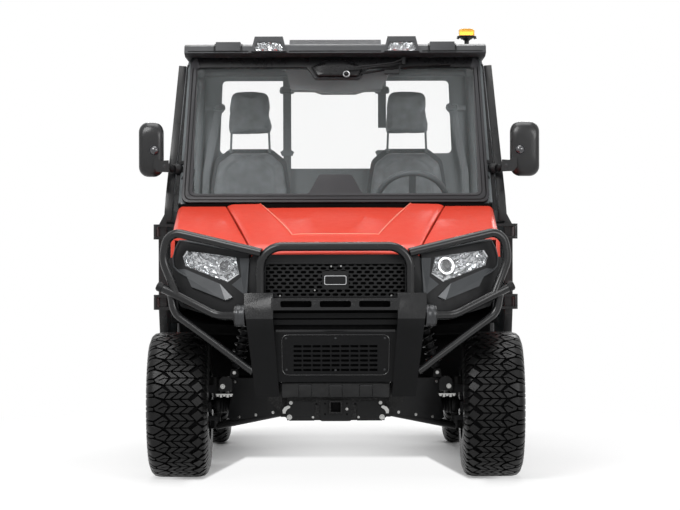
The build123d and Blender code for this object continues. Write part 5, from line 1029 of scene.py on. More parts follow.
# painted shade: the crossmember's holes are dark patches of the shade colour laid on its plates
hole = bmesh.new()
add_box(hole, (-0.0245, -1.2902, 0.2905), (0.0245, -1.2895, 0.3395))
for x, z in ((-0.046, 0.335), (-0.046, 0.289), (0.048, 0.335), (0.048, 0.289), (-0.082, 0.333),
             (0.084, 0.333)):
    add_lathe(hole, ((0, 0), (0, 0.0042), (0.0015, 0.0042), (0.0015, 0)), (x, -1.2835, z), (0, -1, 0), 14,
              False)
piece("crossmember_holes", hole, SHADOW, smooth=30)
nuts = bmesh.new()
for sign in (1, -1):
    add_bolt(nuts, (sign * 0.199, -1.2835, 0.2764), (0, -1, 0), 0.0078, 0.007)
    add_bolt(nuts, (sign * 0.098, -1.2835, 0.2760), (0, -1, 0), 0.0036, 0.004)
    add_bolt(nuts, (sign * 0.1925, -1.2830, 0.3380), (0, -1, 0), 0.0052, 0.006)
    # tow hooks beside the crossmember
    hook = [(sign * x, z) for x, z in ((0.2275, 0.2925), (0.2290, 0.3070), (0.2200, 0.3200), (0.2050, 0.3260),
                                      (0.1960, 0.3240), (0.1960, 0.3170), (0.2080, 0.3100), (0.2150, 0.3000),
                                      (0.2160, 0.2925))]
    add_prism(nuts, hook, -1.2850, 0.005, upright)
add_bolt(nuts, (0.048, -1.2835, 0.311), (0, -1, 0), 0.0040, 0.004)
piece("crossmember_bolts", nuts, ZINC, smooth=30)

# ---------------------------------------------------------------- chassis and suspension
refined("chassis_frame", FRAME_PAINT, width=0.002)
refined("front_arms", FRAME_PAINT, width=0.0012)
refined("rear_arms", FRAME_PAINT, width=0.0012)
refined("driveline", CAST, width=0.002)
refined("engine_block", CAST, width=0.006)
for side in ("left", "right"):
    refined(f"knuckle_{side}", CAST, f"knuckle_{side}", 0.003)
refined("steering_rack", STEEL, "steering_rack", 0.0)


def add_spring(bm, low, high, radius, wire, coils):
    """A coil spring whose last turns lie close together."""
    axis = (Vector(high) - Vector(low)).normalized()
    side, up = ring_frame(axis)
    length = (Vector(high) - Vector(low)).length
    path = []
    count = coils * 20
    for k in range(count + 1):
        t = k / count
        flat = eased(min(t, 1 - t) * 8)
        climb = t if 0.12 < t < 0.88 else (0.03 + 0.75 * t if t < 0.12 else 1 - 0.03 - 0.75 * (1 - t))
        a = 2 * math.pi * coils * t
        path.append(Vector(low) + axis * (length * (t * flat + climb * (1 - flat)))
                    + side * (radius * math.cos(a)) + up * (radius * math.sin(a)))
    add_tube(bm, path, wire, 10)


springs, dampers, rods = bmesh.new(), bmesh.new(), bmesh.new()
for axle_y, top in ((FRONT_AXLE_Y, (0.352, 0.800)), (REAR_AXLE_Y, (0.366, 0.705))):
    for sign in (1, -1):
        low = Vector((sign * 0.445, axle_y, 0.458))
        high = Vector((sign * top[0], axle_y, top[1]))
        run = high - low
        axis = run.normalized()
        length = run.length
        body_end = length * 0.55
        add_lathe(dampers, ((0.020, 0), (0.020, 0.014), (0.030, 0.020), (0.044, 0.0215), (0.048, 0.0365),
                            (0.054, 0.0375), (0.058, 0.0365), (0.060, 0.0200), (body_end, 0.0200),
                            (body_end + 0.006, 0.0230), (body_end + 0.012, 0.0200),
                            (body_end + 0.014, 0.0080), (body_end + 0.014, 0)), low, axis, 32, False)
        add_lathe(rods, ((length * 0.5, 0), (length * 0.5, 0.0075), (length - 0.03, 0.0075),
                         (length - 0.03, 0)),
                  low, axis, 24, False)
        add_lathe(dampers, ((length - 0.058, 0), (length - 0.058, 0.0365), (length - 0.050, 0.0375),
                            (length - 0.046, 0.0330), (length - 0.038, 0.0180), (length - 0.022, 0.0150),
                            (length - 0.022, 0)), low, axis, 32, False)
        for end in (low, high):
            for wide, reach in ((0.015, 0.018), (0.0065, 0.0225)):
                add_lathe(dampers, ((-reach, 0.004), (-reach, wide), (reach, wide), (reach, 0.004)), end,
                          (0, 1, 0), 28)
            add_bolt(rods, end + Vector((0, -0.0225, 0)), (0, -1, 0), 0.0095, 0.009)
        add_spring(springs, low + axis * 0.056, high - axis * 0.056, 0.0290, 0.0052, 8)
piece("shock_springs", springs, SPRING, replaces=("shocks",), smooth=60)
piece("shock_dampers", dampers, CAST, smooth=35)
piece("shock_rods", rods, ZINC, smooth=35)

boots = bmesh.new()
for axle_y in (FRONT_AXLE_Y, REAR_AXLE_Y):
    for sign in (1, -1):
        folds = [(0.442, 0.0165), (0.446, 0.0215)]
        for k in range(5):
            x = 0.450 + 0.0125 * k
            r = 0.0235 + 0.0030 * k
            folds += [(x, r), (x + 0.0045, r + 0.0052), (x + 0.0085, r + 0.0010)]
        folds += [(0.5135, 0.0375), (0.5200, 0.0385), (0.5260, 0.0360), (0.5260, 0.0300), (0.4420, 0.0150)]
        add_lathe(boots, folds, (0, axle_y, AXLE_Z), (sign, 0, 0), 32)
        inner = [(0.140, 0.0300), (0.146, 0.0360)]
        for k in range(4):
            inner += [(0.150 + 0.012 * k, 0.0345 - 0.0035 * k), (0.1545 + 0.012 * k, 0.0385 - 0.0035 * k),
                      (0.1590 + 0.012 * k, 0.0335 - 0.0035 * k)]
        inner += [(0.200, 0.0160), (0.206, 0.0160), (0.206, 0.0145), (0.140, 0.0145)]
        add_lathe(boots, inner, (0, axle_y, AXLE_Z), (sign, 0, 0), 32)
piece("shaft_boots", boots, SEAL, smooth=50)


def arm_y(x):
    """Where the front of a lower arm lies, at a distance from the middle."""
    return -1.216 + 0.47 * (x - 0.215)


guards, pins = bmesh.new(), bmesh.new()
for sign in (1, -1):
    outline = ((0.213, 0.286), (0.213, 0.420), (0.240, 0.437), (0.436, 0.437), (0.452, 0.420), (0.462, 0.330),
               (0.474, 0.262), (0.452, 0.250), (0.330, 0.272))
    add_prism(guards, [(sign * x, z) for x, z in outline], 0.0, 0.003,
              lambda u, v, w: (u, arm_y(abs(u)) + w, v))
    for x, z in ((0.4213, 0.2676), (0.3477, 0.2784), (0.2719, 0.2912), (0.4395, 0.4200), (0.240, 0.4200)):
        add_bolt(pins, (sign * x, arm_y(x) - 0.0003, z), (sign * 0.42, -0.9, 0), 0.0044, 0.004)
bevel(guards, 0.001, 40, 1)
piece("arm_guards", guards, DARK_PLATE, smooth=30)
piece("arm_guard_bolts", pins, ZINC, smooth=30)
joint = bmesh.new()
joint_bolts = bmesh.new()
for sign in (1, -1):
    outline = [(sign * x, z) for x, z in ((0.452, 0.380), (0.452, 0.425), (0.462, 0.440), (0.492, 0.444),
                                          (0.508, 0.430), (0.512, 0.380))]
    add_prism(joint, outline, -1.108, 0.008, upright)
    add_bolt(joint_bolts, (sign * 0.494, -1.1082, 0.400), (0, -1, 0), 0.0072, 0.008)
    # the boot's toothed clamp under the plate
    for k in range(5):
        x = sign * (0.458 + 0.0145 * k)
        add_box(joint_bolts, (x - 0.005, -1.106, 0.3560 - 0.004 * (k % 2)), (x + 0.005, -1.102, 0.3655))
    near, far = sorted((sign * 0.450, sign * 0.524))
    add_box(joint_bolts, (near, -1.1055, 0.3625), (far, -1.102, 0.3675))
bevel(joint, 0.002, 40, 2)
piece("arm_end_plates", joint, DARK_PLATE, smooth=35)
piece("arm_end_bolts", joint_bolts, ZINC, smooth=30)
CALIPER_Y = FRONT_AXLE_Y - 0.073
CALIPER_Z = AXLE_Z - 0.006
for side, sign in SIDES:
    disc = bmesh.new()
    add_lathe(disc, ((0.004, 0.060), (0.004, 0.098), (0.0085, 0.098), (0.0085, 0.060)),
              (sign * 0.5855, FRONT_AXLE_Y, AXLE_Z), (sign, 0, 0), 48)
    piece(f"brake_disc_{side}", disc, STEEL, f"knuckle_{side}", smooth=30)
    grip = bmesh.new()
    add_box(grip, (-0.016, -0.026, -0.022), (0.016, 0.026, 0.022))
    bevel(grip, 0.006, 30, 3)
    bmesh.ops.translate(grip, verts=grip.verts, vec=(sign * 0.5600, CALIPER_Y, CALIPER_Z))
    add_bolt(grip, (sign * 0.5600, CALIPER_Y - 0.025, CALIPER_Z), (0, -1, 0), 0.008, 0.009)
    piece(f"brake_caliper_{side}", grip, CAST, f"knuckle_{side}", smooth=30)

# ---------------------------------------------------------------- cab shell
SCREEN_UP = Vector((0, 0.320, 0.682)).normalized()
SCREEN_OUT = Vector((0, -SCREEN_UP.z, SCREEN_UP.y))
SCREEN_FOOT = Vector((0, -0.650, 1.190)) + SCREEN_OUT * 0.0253


def screen(x, up, out=0.0):
    """A place on the windscreen: across, up the slope, and out from its back."""
    return SCREEN_FOOT + Vector((x, 0, 0)) + SCREEN_UP * up + SCREEN_OUT * out


frame_bars = refined("cab_frame", (BAR, CABIN_MID), width=0.0012)
for face in frame_bars.data.polygons:
    # the tubes inside the cab are grey
    if abs(face.center.x) < 0.700 and 1.200 < face.center.z < 1.960:
        face.material_index = 1
pan = refined("cab_floor", (CABIN_DARK, SHADOW), width=0.004)
for face in pan.data.polygons:
    # painted shade: the underside and the front that faces the axle take the near-black shade colour
    if face.normal.z < -0.3 or face.normal.y < -0.3:
        face.material_index = 1
surround = welded("windscreen_surround")
bevel(surround, 0.003, 30)
for face in surround.faces:
    # painted shade: the band under the roof, in the roof's shade, is blacker
    if face.calc_center_median().z > 1.800:
        face.material_index = 1
piece("windscreen_surround_finished", surround, (SURROUND, TRIM), VEHICLE, ("windscreen_surround",),
      smooth=35)
refined("windscreen_glass", GLASS, width=0.0)
refined("rear_glass", GLASS, width=0.0)
wall = refined("rear_wall", (CABIN, DOOR_BLACK), width=0.003)
for face in wall.data.polygons:
    # the side that faces the bed is body black
    if face.center.y > 0.3945:
        face.material_index = 1
shell = welded("roof")


def by_pod(edge):
    """Whether an edge belongs to one of the two lamp pods."""
    return all(0.22 < abs(v.co.x) < 0.395 and v.co.y < -0.39 for v in edge.verts)


# the lamp pods' thin frames get a finer edge than the rest
for pods, offset, angle in ((True, 0.0011, 30), (False, 0.004, 40)):
    sharp = [e for e in shell.edges if by_pod(e) == pods and len(e.link_faces) == 2
             and e.calc_face_angle(0.0) > math.radians(angle)]
    bmesh.ops.bevel(shell, geom=sharp, offset=offset, segments=2, profile=0.7, affect="EDGES",
                    clamp_overlap=True)
bmesh.ops.triangulate(shell, faces=[f for f in shell.faces if len(f.verts) > 4])
piece("roof_finished", shell, ROOF_SKIN, VEHICLE, ("roof",), smooth=35)
gasket = bmesh.new()
for inset, thick, out in ((0.013, 0.0030, 0.022), (0.031, 0.0018, 0.0225)):
    loop = rounded_path((screen(0.674 - inset, 0.700, out), screen(0.699 - inset, 0.004 + inset, out),
                         screen(-0.699 + inset, 0.004 + inset, out), screen(-0.674 + inset, 0.700, out)),
                        0.036, 8)
    add_tube(gasket, loop, thick, 8)
piece("windscreen_gasket", gasket, SEAL, smooth=60)

# covers that close the gap between the front pillars and the doors
for side, sign in SIDES:
    trim = bmesh.new()
    rows = []
    for z, y, x_in, x_out in ((1.175, -0.668, 0.690, 0.7385), (1.240, -0.6375, 0.688, 0.7350),
                              (1.560, -0.4873, 0.674, 0.7130), (1.862, -0.3457, 0.661, 0.6915)):
        rows.append([trim.verts.new((sign * x, y + back, z)) for x, back in
                     ((x_in, -0.004), (x_out - 0.004, -0.004), (x_out, 0.002), (x_out, 0.020),
                      (x_out - 0.003, 0.020), (x_out - 0.005, 0.004), (x_in, 0.003))])
    add_skin(trim, rows)
    piece(f"pillar_cover_{side}", trim, TRIM, smooth=40)
    # painted highlight: a thin light grey line along the edge between the pillar cover and the door, for the
    # light that the edge reflects
    strip = bmesh.new()
    add_tube(strip, [flipped(sign, p) for p in ((0.7355, -0.6425, 1.225), (0.7135, -0.4925, 1.550),
                                                (0.6925, -0.3505, 1.852))], 0.0016, 8)
    piece(f"pillar_highlight_{side}", strip, EDGE_HIGHLIGHT, smooth=60)

# wiper: motor cover, spindle, arm and blade
cover = bmesh.new()
outline = rounded_path([(x, u, 0) for x, u in ((-0.112, 0.700), (-0.086, 0.650), (0.104, 0.650),
                                               (0.130, 0.700),
                                               (0.060, 0.735), (-0.050, 0.735), (-0.112, 0.700))], 0.016, 5)
base = [(p.x, p.y) for p in outline[:-1]]
mid = (0.009, 0.690)
rows = []
for share, out in ((1.0, 0.020), (1.0, 0.028), (0.97, 0.033), (0.90, 0.0365), (0.6, 0.0385)):
    rows.append([cover.verts.new(screen(mid[0] + (x - mid[0]) * share, mid[1] + (u - mid[1]) * share, out))
                 for x, u in base])
add_skin(cover, rows)
piece("wiper_motor_cover", cover, TRIM, replaces=("wiper",), smooth=40)
spindle = bmesh.new()
pivot = screen(0.052, 0.657, 0.036)
add_lathe(spindle, ((0, 0.0110), (0.006, 0.0110), (0.0075, 0.0130), (0.0075, 0.0155), (0.004, 0.0170),
                    (0, 0.0170)), pivot, SCREEN_OUT, 36)
piece("wiper_ring", spindle, STEEL, smooth=40)
arm = bmesh.new()
add_lathe(arm, ((0, 0), (0, 0.010), (0.012, 0.010), (0.016, 0.007), (0.016, 0)), pivot, SCREEN_OUT, 24, False)
add_lathe(arm, ((0, 0), (0, 0.012), (0.008, 0.012), (0.011, 0.008), (0.011, 0)), screen(0.058, 0.684, 0.040),
          SCREEN_OUT, 24, False)
add_tube(arm, (screen(0.058, 0.684, 0.048), screen(0.120, 0.692, 0.050), screen(0.200, 0.700, 0.050),
               screen(0.270, 0.712, 0.049), screen(0.318, 0.734, 0.046)), 0.0042, 10)
add_tube(arm, (screen(0.058, 0.676, 0.048), screen(0.130, 0.682, 0.049), screen(0.250, 0.700, 0.048),
               screen(0.312, 0.712, 0.046)), 0.0030, 10)
# the clamps at the arm's tip and on the blade
for x, u, out, half_x, half_u in ((0.318, 0.722, 0.042, 0.008, 0.020), (0.262, 0.664, 0.040, 0.034, 0.010)):
    corners = [(x - half_x, u - half_u), (x + half_x, u - half_u), (x + half_x, u + half_u),
               (x - half_x, u + half_u)]
    add_prism(arm, corners, out, 0.009, screen)
add_tube(arm, (screen(0.318, 0.716, 0.044), screen(0.300, 0.690, 0.042), screen(0.292, 0.668, 0.040)), 0.0045,
         10)
bevel(arm, 0.001, 40, 1)
piece("wiper_arm", arm, MOULDED, smooth=40)
blade = bmesh.new()
spine = [screen(0.120 + 0.046 * k, 0.664 + 0.0052 * k + 0.010 * math.sin(math.pi * k / 9), 0.0335)
         for k in range(10)]
add_tube(blade, spine, 0.0038, 8)
add_tube(blade, [p - SCREEN_OUT * 0.005 for p in spine], 0, 8, flat=(0.0012, 0.006, SCREEN_OUT))
for k in (2, 4, 5, 7):
    add_tube(blade, [spine[at] + SCREEN_OUT * out for at, out in ((k, 0.002), (k, 0.008), (k + 1, 0.008),
                                                                  (k + 1, 0.002))], 0.0024, 6)
piece("wiper_blade", blade, SEAL, smooth=50)

# roof: edge seam, lamp pods' reflectors and lenses
seam = bmesh.new()
for start, end in ((-0.684, -0.402), (-0.214, 0.214), (0.402, 0.684)):
    add_tube(seam, ((start, -0.4335, 1.9190), (end, -0.4335, 1.9190)), 0.0022, 8)
for sign in (1, -1):
    for x in (0.434, 0.560):
        add_tube(seam, ((sign * x, -0.438, 1.917), (sign * x, -0.430, 1.944), (sign * x, -0.372, 1.9565),
                        (sign * x, 0.385, 1.9565)), 0.0030, 8)
piece("roof_seams", seam, SEAL, smooth=60)


def pod(x, z, out, side):
    """A place in a lamp pod's leaning mouth, a little behind its frame."""
    return Vector((side * (0.308 + x), -0.4440 + (z - 1.920) * 0.34 - out, z))


POD_EDGE = [(-0.0695, 1.9205), (0.0695, 1.9205), (0.0535, 1.9615), (-0.0535, 1.9615)]
for side, sign in SIDES:
    mirror_field = bmesh.new()
    reflector(mirror_field, POD_EDGE, sign, 0.0065, -0.017, -0.008, pod, seed=11)
    piece(f"roof_lamp_reflector_{side}", mirror_field, CHROME, replaces=("roof_lamps",),
          smooth=1)
    cups = bmesh.new()
    for x in (-0.028, 0.028):
        add_lathe(cups, ((0, 0.0080), (0.010, 0.0150), (0.010, 0.0165), (-0.002, 0.0095)),
                  pod(x, 1.9425, -0.012, sign), (0, -1, 0), 28)
    piece(f"roof_lamp_cups_{side}", cups, CHROME, smooth=40)
    marks = bmesh.new()
    for x in (-0.030, 0.026):
        add_lathe(marks, ((0, 0), (0, 0.0062), (0.003, 0.0055), (0.004, 0)), pod(x, 1.9275, -0.004, sign),
                  (0, -1, 0), 16, False)
    bmesh.ops.scale(marks, vec=(1.0, 1.0, 0.42), verts=marks.verts,
                    space=Matrix.Translation((0, 0, -1.9275)))
    piece(f"roof_lamp_marks_{side}", marks, RED_LENS, smooth=40)
    lens = bmesh.new()
    outer = [lens.verts.new(pod(x, z, 0.0005, sign)) for x, z in POD_EDGE]
    inner = [lens.verts.new(pod(x * 0.86, 1.941 + (z - 1.941) * 0.72, 0.004, sign)) for x, z in POD_EDGE]
    bridge(lens, (outer, inner))
    lens.faces.new(inner)
    thickened(piece(f"roof_lamp_lens_{side}", lens, LENS, smooth=30), 0.0015)

# beacon
BEACON = Vector((0.655, 0.454, 0))
stem = bmesh.new()
add_lathe(stem, ((1.906, 0), (1.906, 0.021), (1.912, 0.021), (1.914, 0.0115), (2.040, 0.0115), (2.046, 0.020),
                 (2.052, 0.030), (2.056, 0.046), (2.061, 0.0490), (2.064, 0.046), (2.066, 0.041), (2.066, 0)),
          BEACON, (0, 0, 1), 44, False)
add_box(stem, (0.633, 0.4302, 1.905), (0.677, 0.476, 1.917))
for k in range(12):
    a = 2 * math.pi * k / 12
    p = BEACON + Vector((0.0465 * math.cos(a), 0.0465 * math.sin(a), 2.0545))
    add_lathe(stem, ((0, 0), (0, 0.0035), (0.006, 0.0035), (0.006, 0)), p - Vector((0, 0, 0.004)), (0, 0, 1),
              10, False)
piece("beacon_base", stem, MOULDED, replaces=("beacon",), smooth=40)
dome = bmesh.new()
profile = [(2.066, 0), (2.066, 0.0385)]
for k in range(5):
    z = 2.0675 + 0.0056 * k
    profile += [(z, 0.0385), (z + 0.0018, 0.0398), (z + 0.0038, 0.0398), (z + 0.0054, 0.0385)]
profile += [(2.0965, 0.0372), (2.0990, 0.033), (2.1000, 0.024), (2.1000, 0)]
add_lathe(dome, profile, BEACON, (0, 0, 1), 48, False)
piece("beacon_lens", dome, AMBER, smooth=35)

# ---------------------------------------------------------------- doors
DOOR_LEAN = Vector((-0.048, 0, 0.704)).normalized()
DOOR_OUT = Vector((DOOR_LEAN.z, 0, -DOOR_LEAN.x))
BELT_LINE = (0.780, 1.158)
DOOR_SKIN_X = 0.804


def door_side(y, up, out=0.0, side=1):
    """A place on the leaning upper half of a door: fore and aft, up from the belt, and outwards."""
    return flipped(side, Vector((BELT_LINE[0], y, BELT_LINE[1])) + DOOR_LEAN * up + DOOR_OUT * out)


for side, sign in SIDES:
    body = f"door_{side}"
    panel = refined(f"door_panel_{side}", (DOOR_BLACK, CABIN_MID), body, 0.004)
    for face in panel.data.polygons:
        # the lining, inside the door
        if face.normal.x * sign < -0.5:
            face.material_index = 1
    refined(f"door_glass_{side}", GLASS, body, 0.0)
    edge = bmesh.new()
    loop = rounded_path([door_side(y, u, 0.0008, sign) for y, u in
                         ((0.0, 0.040), (0.310, 0.040), (0.310, 0.6535), (-0.256, 0.6535), (-0.582, 0.040),
                          (0.0, 0.040))], 0.04, 8)
    add_tube(edge, loop, 0.0042, 8)
    piece(f"door_window_seal_{side}", edge, SEAL, body, smooth=60)
    # raised pressing on the door's lower half, and the belt strip
    skin = bmesh.new()
    face = [(-0.585, 0.735), (-0.500, 0.575), (0.330, 0.575), (0.330, 1.085), (-0.585, 1.085)]
    rings = []
    for inset, out in ((0.0, -0.002), (0.010, 0.0065), (0.030, 0.0085)):
        points = shrunk(face, (-0.12, 0.85), inset)
        rings.append([skin.verts.new((sign * (DOOR_SKIN_X + out), y, z)) for y, z in points])
    add_skin(skin, rings)
    bevel(skin, 0.003, 20)
    piece(f"door_pressing_{side}", skin, DOOR_BLACK, body, smooth=30)
    strip = bmesh.new()
    add_tube(strip, [Vector((sign * 0.806, y, 1.099)) for y in (-0.622, -0.2, 0.355)], 0, 8,
             flat=(0.011, 0.004, (sign, 0, 0)))
    bevel(strip, 0.0025, 30)
    piece(f"door_belt_strip_{side}", strip, SEAL, body, smooth=40)
    grip = bmesh.new()
    add_tube(grip, rounded_path([(sign * x, y, 1.078) for x, y in
                                 ((0.808, 0.184), (0.834, 0.190), (0.836, 0.300), (0.808, 0.308))], 0.018),
             0.0072, 12)
    add_lathe(grip, ((0, 0), (0, 0.015), (0.006, 0.0145), (0.008, 0.012), (0.008, 0)),
              (sign * DOOR_SKIN_X, 0.335, 1.078), (sign, 0, 0), 24, False)
    piece(f"door_handle_{side}", grip, MOULDED_LIGHT, body, smooth=45)
    grab = bmesh.new()
    add_tube(grab, rounded_path([flipped(sign, p) for p in
                                 ((0.772, -0.05, 0.98), (0.728, -0.05, 0.985), (0.728, 0.16, 1.02),
                                  (0.772, 0.16, 1.02))], 0.03), 0.011, 12)
    piece(f"door_pull_{side}", grab, CABIN_DARK, body, smooth=45)

# ---------------------------------------------------------------- mirrors
PILLAR_FOOT = Vector((0.697, -0.650, 1.190))
PILLAR_RUN = Vector((-0.032, 0.320, 0.682))
CLAMP_Z = 1.368
CLAMP_AT = PILLAR_FOOT + PILLAR_RUN * ((CLAMP_Z - PILLAR_FOOT.z) / PILLAR_RUN.z)
MIRROR_OUT = Vector((0.816, -0.578, 0)).normalized()
MIRROR_Z = 1.452
# the right mirror is narrower and closer in
for side, sign, centre_x, width in (("left", 1, 0.857, 0.132), ("right", -1, 0.833, 0.112)):
    shell = bmesh.new()
    rows = []
    for share, y in ((0.30, -0.7535), (0.62, -0.7525), (0.84, -0.7480), (0.955, -0.7360), (1.0, -0.7150),
                     (0.985, -0.6880), (0.955, -0.6865)):
        half_w, half_h = width / 2 * share, 0.124 * (share if share > 0.9 else share * 0.97)
        rows.append([shell.verts.new((sign * (centre_x + u), y, MIRROR_Z + v))
                     for u, v in rounded_rect(half_w, half_h, min(half_w, 0.046) * 0.98)])
    add_skin(shell, rows)
    piece(f"mirror_shell_{side}", shell, MIRROR_SHELL, replaces=("side_mirrors",),
          smooth=50)
    face = bmesh.new()
    add_prism(face, rounded_rect(width / 2 - 0.009, 0.113, 0.040), -0.6862, 0.0025,
              lambda u, v, w, s=sign, c=centre_x: (s * (c + u), w, MIRROR_Z + v))
    bevel(face, 0.001, 40, 1)
    piece(f"mirror_face_{side}", face, MIRROR_FACE, smooth=30)
    arm = bmesh.new()
    path = [flipped(sign, p) for p in (CLAMP_AT + MIRROR_OUT * 0.020, CLAMP_AT + MIRROR_OUT * 0.079,
                                       (centre_x - 0.020, -0.700, 1.385), (centre_x - 0.010, -0.716, 1.400))]
    add_tube(arm, rounded_path(path, 0.03, 6), 0.0165, 18)
    lean = flipped(sign, PILLAR_RUN).normalized()
    grip_at = flipped(sign, CLAMP_AT)
    out = flipped(sign, MIRROR_OUT)
    for shift in (-0.020, 0.020):
        add_lathe(arm, ((-0.008, 0.0252), (-0.008, 0.0310), (0.008, 0.0310), (0.008, 0.0252)),
                  grip_at + lean * shift, lean, 32)
    add_lathe(arm, ((0, 0), (0, 0.021), (0.010, 0.0245), (0.026, 0.0245), (0.036, 0.018), (0.036, 0)),
              grip_at + out * 0.024, out, 28, False)
    add_bolt(arm, grip_at - lean * 0.050 + Vector((0, -0.026, 0)), (0, -1, 0), 0.009, 0.010)
    piece(f"mirror_arm_{side}", arm, MOULDED, smooth=45)
    bracket = bmesh.new()
    outline = [(sign * x, z) for x, z in ((0.748, 1.348), (0.752, 1.402), (0.786, 1.400), (0.806, 1.414),
                                          (0.818, 1.408), (0.820, 1.372), (0.804, 1.350))]
    add_prism(bracket, outline, -0.7640, 0.024, upright)
    bevel(bracket, 0.005, 40, 3)
    piece(f"mirror_bracket_{side}", bracket, MIRROR_SHELL, smooth=50)
    stud = bmesh.new()
    add_bolt(stud, (sign * 0.770, -0.7642, 1.376), (0, -1, 0), 0.0060, 0.005)
    piece(f"mirror_stud_{side}", stud, COLLAR, smooth=30)
    knob = bmesh.new()
    place = Vector((sign * (centre_x - (0.024 if sign > 0 else 0.016)), -0.7505, 1.447))
    add_lathe(knob, ((0, 0), (0, 0.0215), (0.004, 0.0210), (0.010, 0.0165), (0.014, 0.0095), (0.0155, 0)),
              place, (0, -1, 0), 36, False)
    piece(f"mirror_joint_{side}", knob, DARK_LENS, smooth=50)
    collar = bmesh.new()
    add_lathe(collar, ((0, 0.0220), (0.003, 0.0245), (0.005, 0.0235), (0.005, 0.0215), (0, 0.0212)), place,
              (0, -1, 0), 36)
    piece(f"mirror_joint_ring_{side}", collar, COLLAR, smooth=50)

# ---------------------------------------------------------------- cabin
overhead = bmesh.new()
outline = ((-0.310, 1.896), (0.310, 1.896), (0.292, 1.862), (0.262, 1.846), (0.214, 1.752), (0.135, 1.750),
           (0.095, 1.738), (-0.065, 1.738), (-0.100, 1.750), (-0.209, 1.752), (-0.232, 1.846),
           (-0.268, 1.862))
add_prism(overhead, outline, -0.262, 0.180, upright)
bevel(overhead, 0.007, 25, 3)
piece("overhead_console_finished", overhead, CABIN_MID, replaces=("overhead_console",),
      smooth=40)
refined("dashboard", CABIN_DARK, width=0.008)
refined("steering_wheel", CABIN_DARK, "steering_wheel", 0.002)
COLUMN = Vector((0, math.cos(math.radians(35)), math.sin(math.radians(35))))
WHEEL_MID = Vector((0.360, -0.243, 1.222))
boss = bmesh.new()
add_lathe(boss, ((0.010, 0), (0.010, 0.047), (0.020, 0.045), (0.026, 0.036), (0.028, 0)), WHEEL_MID, COLUMN,
          40, False)
for k in range(3):
    r = 0.012 + 0.010 * k
    add_lathe(boss, ((0.027, r), (0.0295, r + 0.0005), (0.0295, r + 0.0020), (0.027, r + 0.0025)),
              WHEEL_MID - COLUMN * 0.0012 * k, COLUMN, 36)
piece("steering_boss", boss, TRIM, "steering_wheel", smooth=40)
dash = bmesh.new()
for x in (-0.52, -0.16, 0.10, 0.56):
    add_lathe(dash, ((-0.010, 0.026), (0.008, 0.034), (0.014, 0.034), (0.014, 0.030), (0.004, 0.022)),
              (x, -0.268, 1.172), (0, 0.93, 0.36), 32)
    for k in (-1, 0, 1):
        add_box(dash, (x - 0.026, -0.272, 1.170 + 0.013 * k), (x + 0.026, -0.262, 1.173 + 0.013 * k))
add_box(dash, (-0.075, -0.318, 0.985), (0.075, -0.255, 1.120))
piece("dash_vents", dash, TRIM, smooth=35)
controls = bmesh.new()
for k in range(6):
    x = -0.060 + 0.024 * k
    add_box(controls, (x - 0.009, -0.262, 1.085), (x + 0.009, -0.2505, 1.108))
for x in (-0.045, 0.0, 0.045):
    add_lathe(controls, ((0, 0), (0, 0.014), (0.012, 0.012), (0.012, 0)), (x, -0.2555, 1.040), (0, 1, 0), 24,
              False)
bevel(controls, 0.0015, 40, 1)
piece("dash_controls", controls, MOULDED_LIGHT, smooth=35)
stub = bmesh.new()
add_tube(stub, ((0.05, 0.02, 0.752), (0.05, -0.005, 0.86), (0.055, -0.030, 0.955)), 0.0085, 12)
add_lathe(stub, ((0, 0), (0.0, 0.014), (0.02, 0.022), (0.052, 0.024), (0.066, 0.015), (0.070, 0)),
          (0.055, -0.030, 0.952), (0, -0.2, 1), 28, False)
piece("gear_lever", stub, TRIM, smooth=45)
pedals = bmesh.new()
for x in (0.30, 0.42):
    add_tube(pedals, ((x, -0.560, 0.74), (x, -0.535, 0.62), (x, -0.50, 0.585)), 0.008, 10)
    add_prism(pedals, rounded_rect(0.032, 0.024, 0.008, 4), 0, 0.010,
              lambda u, v, w, x=x: (x + u, -0.500 + w * 0.8 + v * 0.5, 0.572 + v * 0.86 - w * 0.5))
piece("pedals", pedals, CABIN_DARK, smooth=40)
# belts: flat webbing, its guides and its loops
BELT_X = (-0.239, 0.229)
refined("seat_belts", WEBBING, width=0.0006)
guides = bmesh.new()
for x in BELT_X:
    guide = [(x - 0.034, 1.482), (x - 0.026, 1.462), (x + 0.026, 1.462), (x + 0.034, 1.482),
             (x + 0.022, 1.490), (x - 0.022, 1.490)]
    add_prism(guides, guide, 0.3020, 0.014, upright)
bevel(guides, 0.002, 40, 2)
boxes("belt_straps", [((x - 0.0190, 0.3100, 1.290), (x + 0.0190, 0.3120, 1.480)) for x in BELT_X], WEBBING,
      smooth=30)
piece("belt_guides", guides, CABIN, smooth=40)
loops = bmesh.new()
for sign in (1, -1):
    add_tube(loops, rounded_path([(sign * x, 0.3225, z) for x, z in
                                  ((0.575, 1.716), (0.552, 1.716), (0.546, 1.690), (0.604, 1.690),
                                   (0.598, 1.716), (0.575, 1.716))], 0.010, 5), 0.0045, 10)
for x in BELT_X:
    add_tube(loops, rounded_path([(x + u, 0.308, z) for u, z in
                                  ((0, 1.800), (-0.030, 1.800), (-0.034, 1.772), (0.034, 1.772),
                                   (0.030, 1.800), (0, 1.800))], 0.010, 5), 0.0045, 10)
piece("belt_loops", loops, CABIN, smooth=50)

# ---------------------------------------------------------------- seats


def edge_rounded(outline, radius, steps=6):
    """A closed outline with every corner rounded."""
    points = [Vector((u, v, 0)) for u, v in outline]
    closed = [points[0].lerp(points[-1], 0.5)] + points + [points[0].lerp(points[-1], 0.5)]
    return [(p.x, p.y) for p in rounded_path(closed, radius, steps)[:-1]]


def baked(obj):
    """The object's mesh with every modifier applied."""
    graph = bpy.context.evaluated_depsgraph_get()
    graph.update()
    return bpy.data.meshes.new_from_object(obj.evaluated_get(graph))


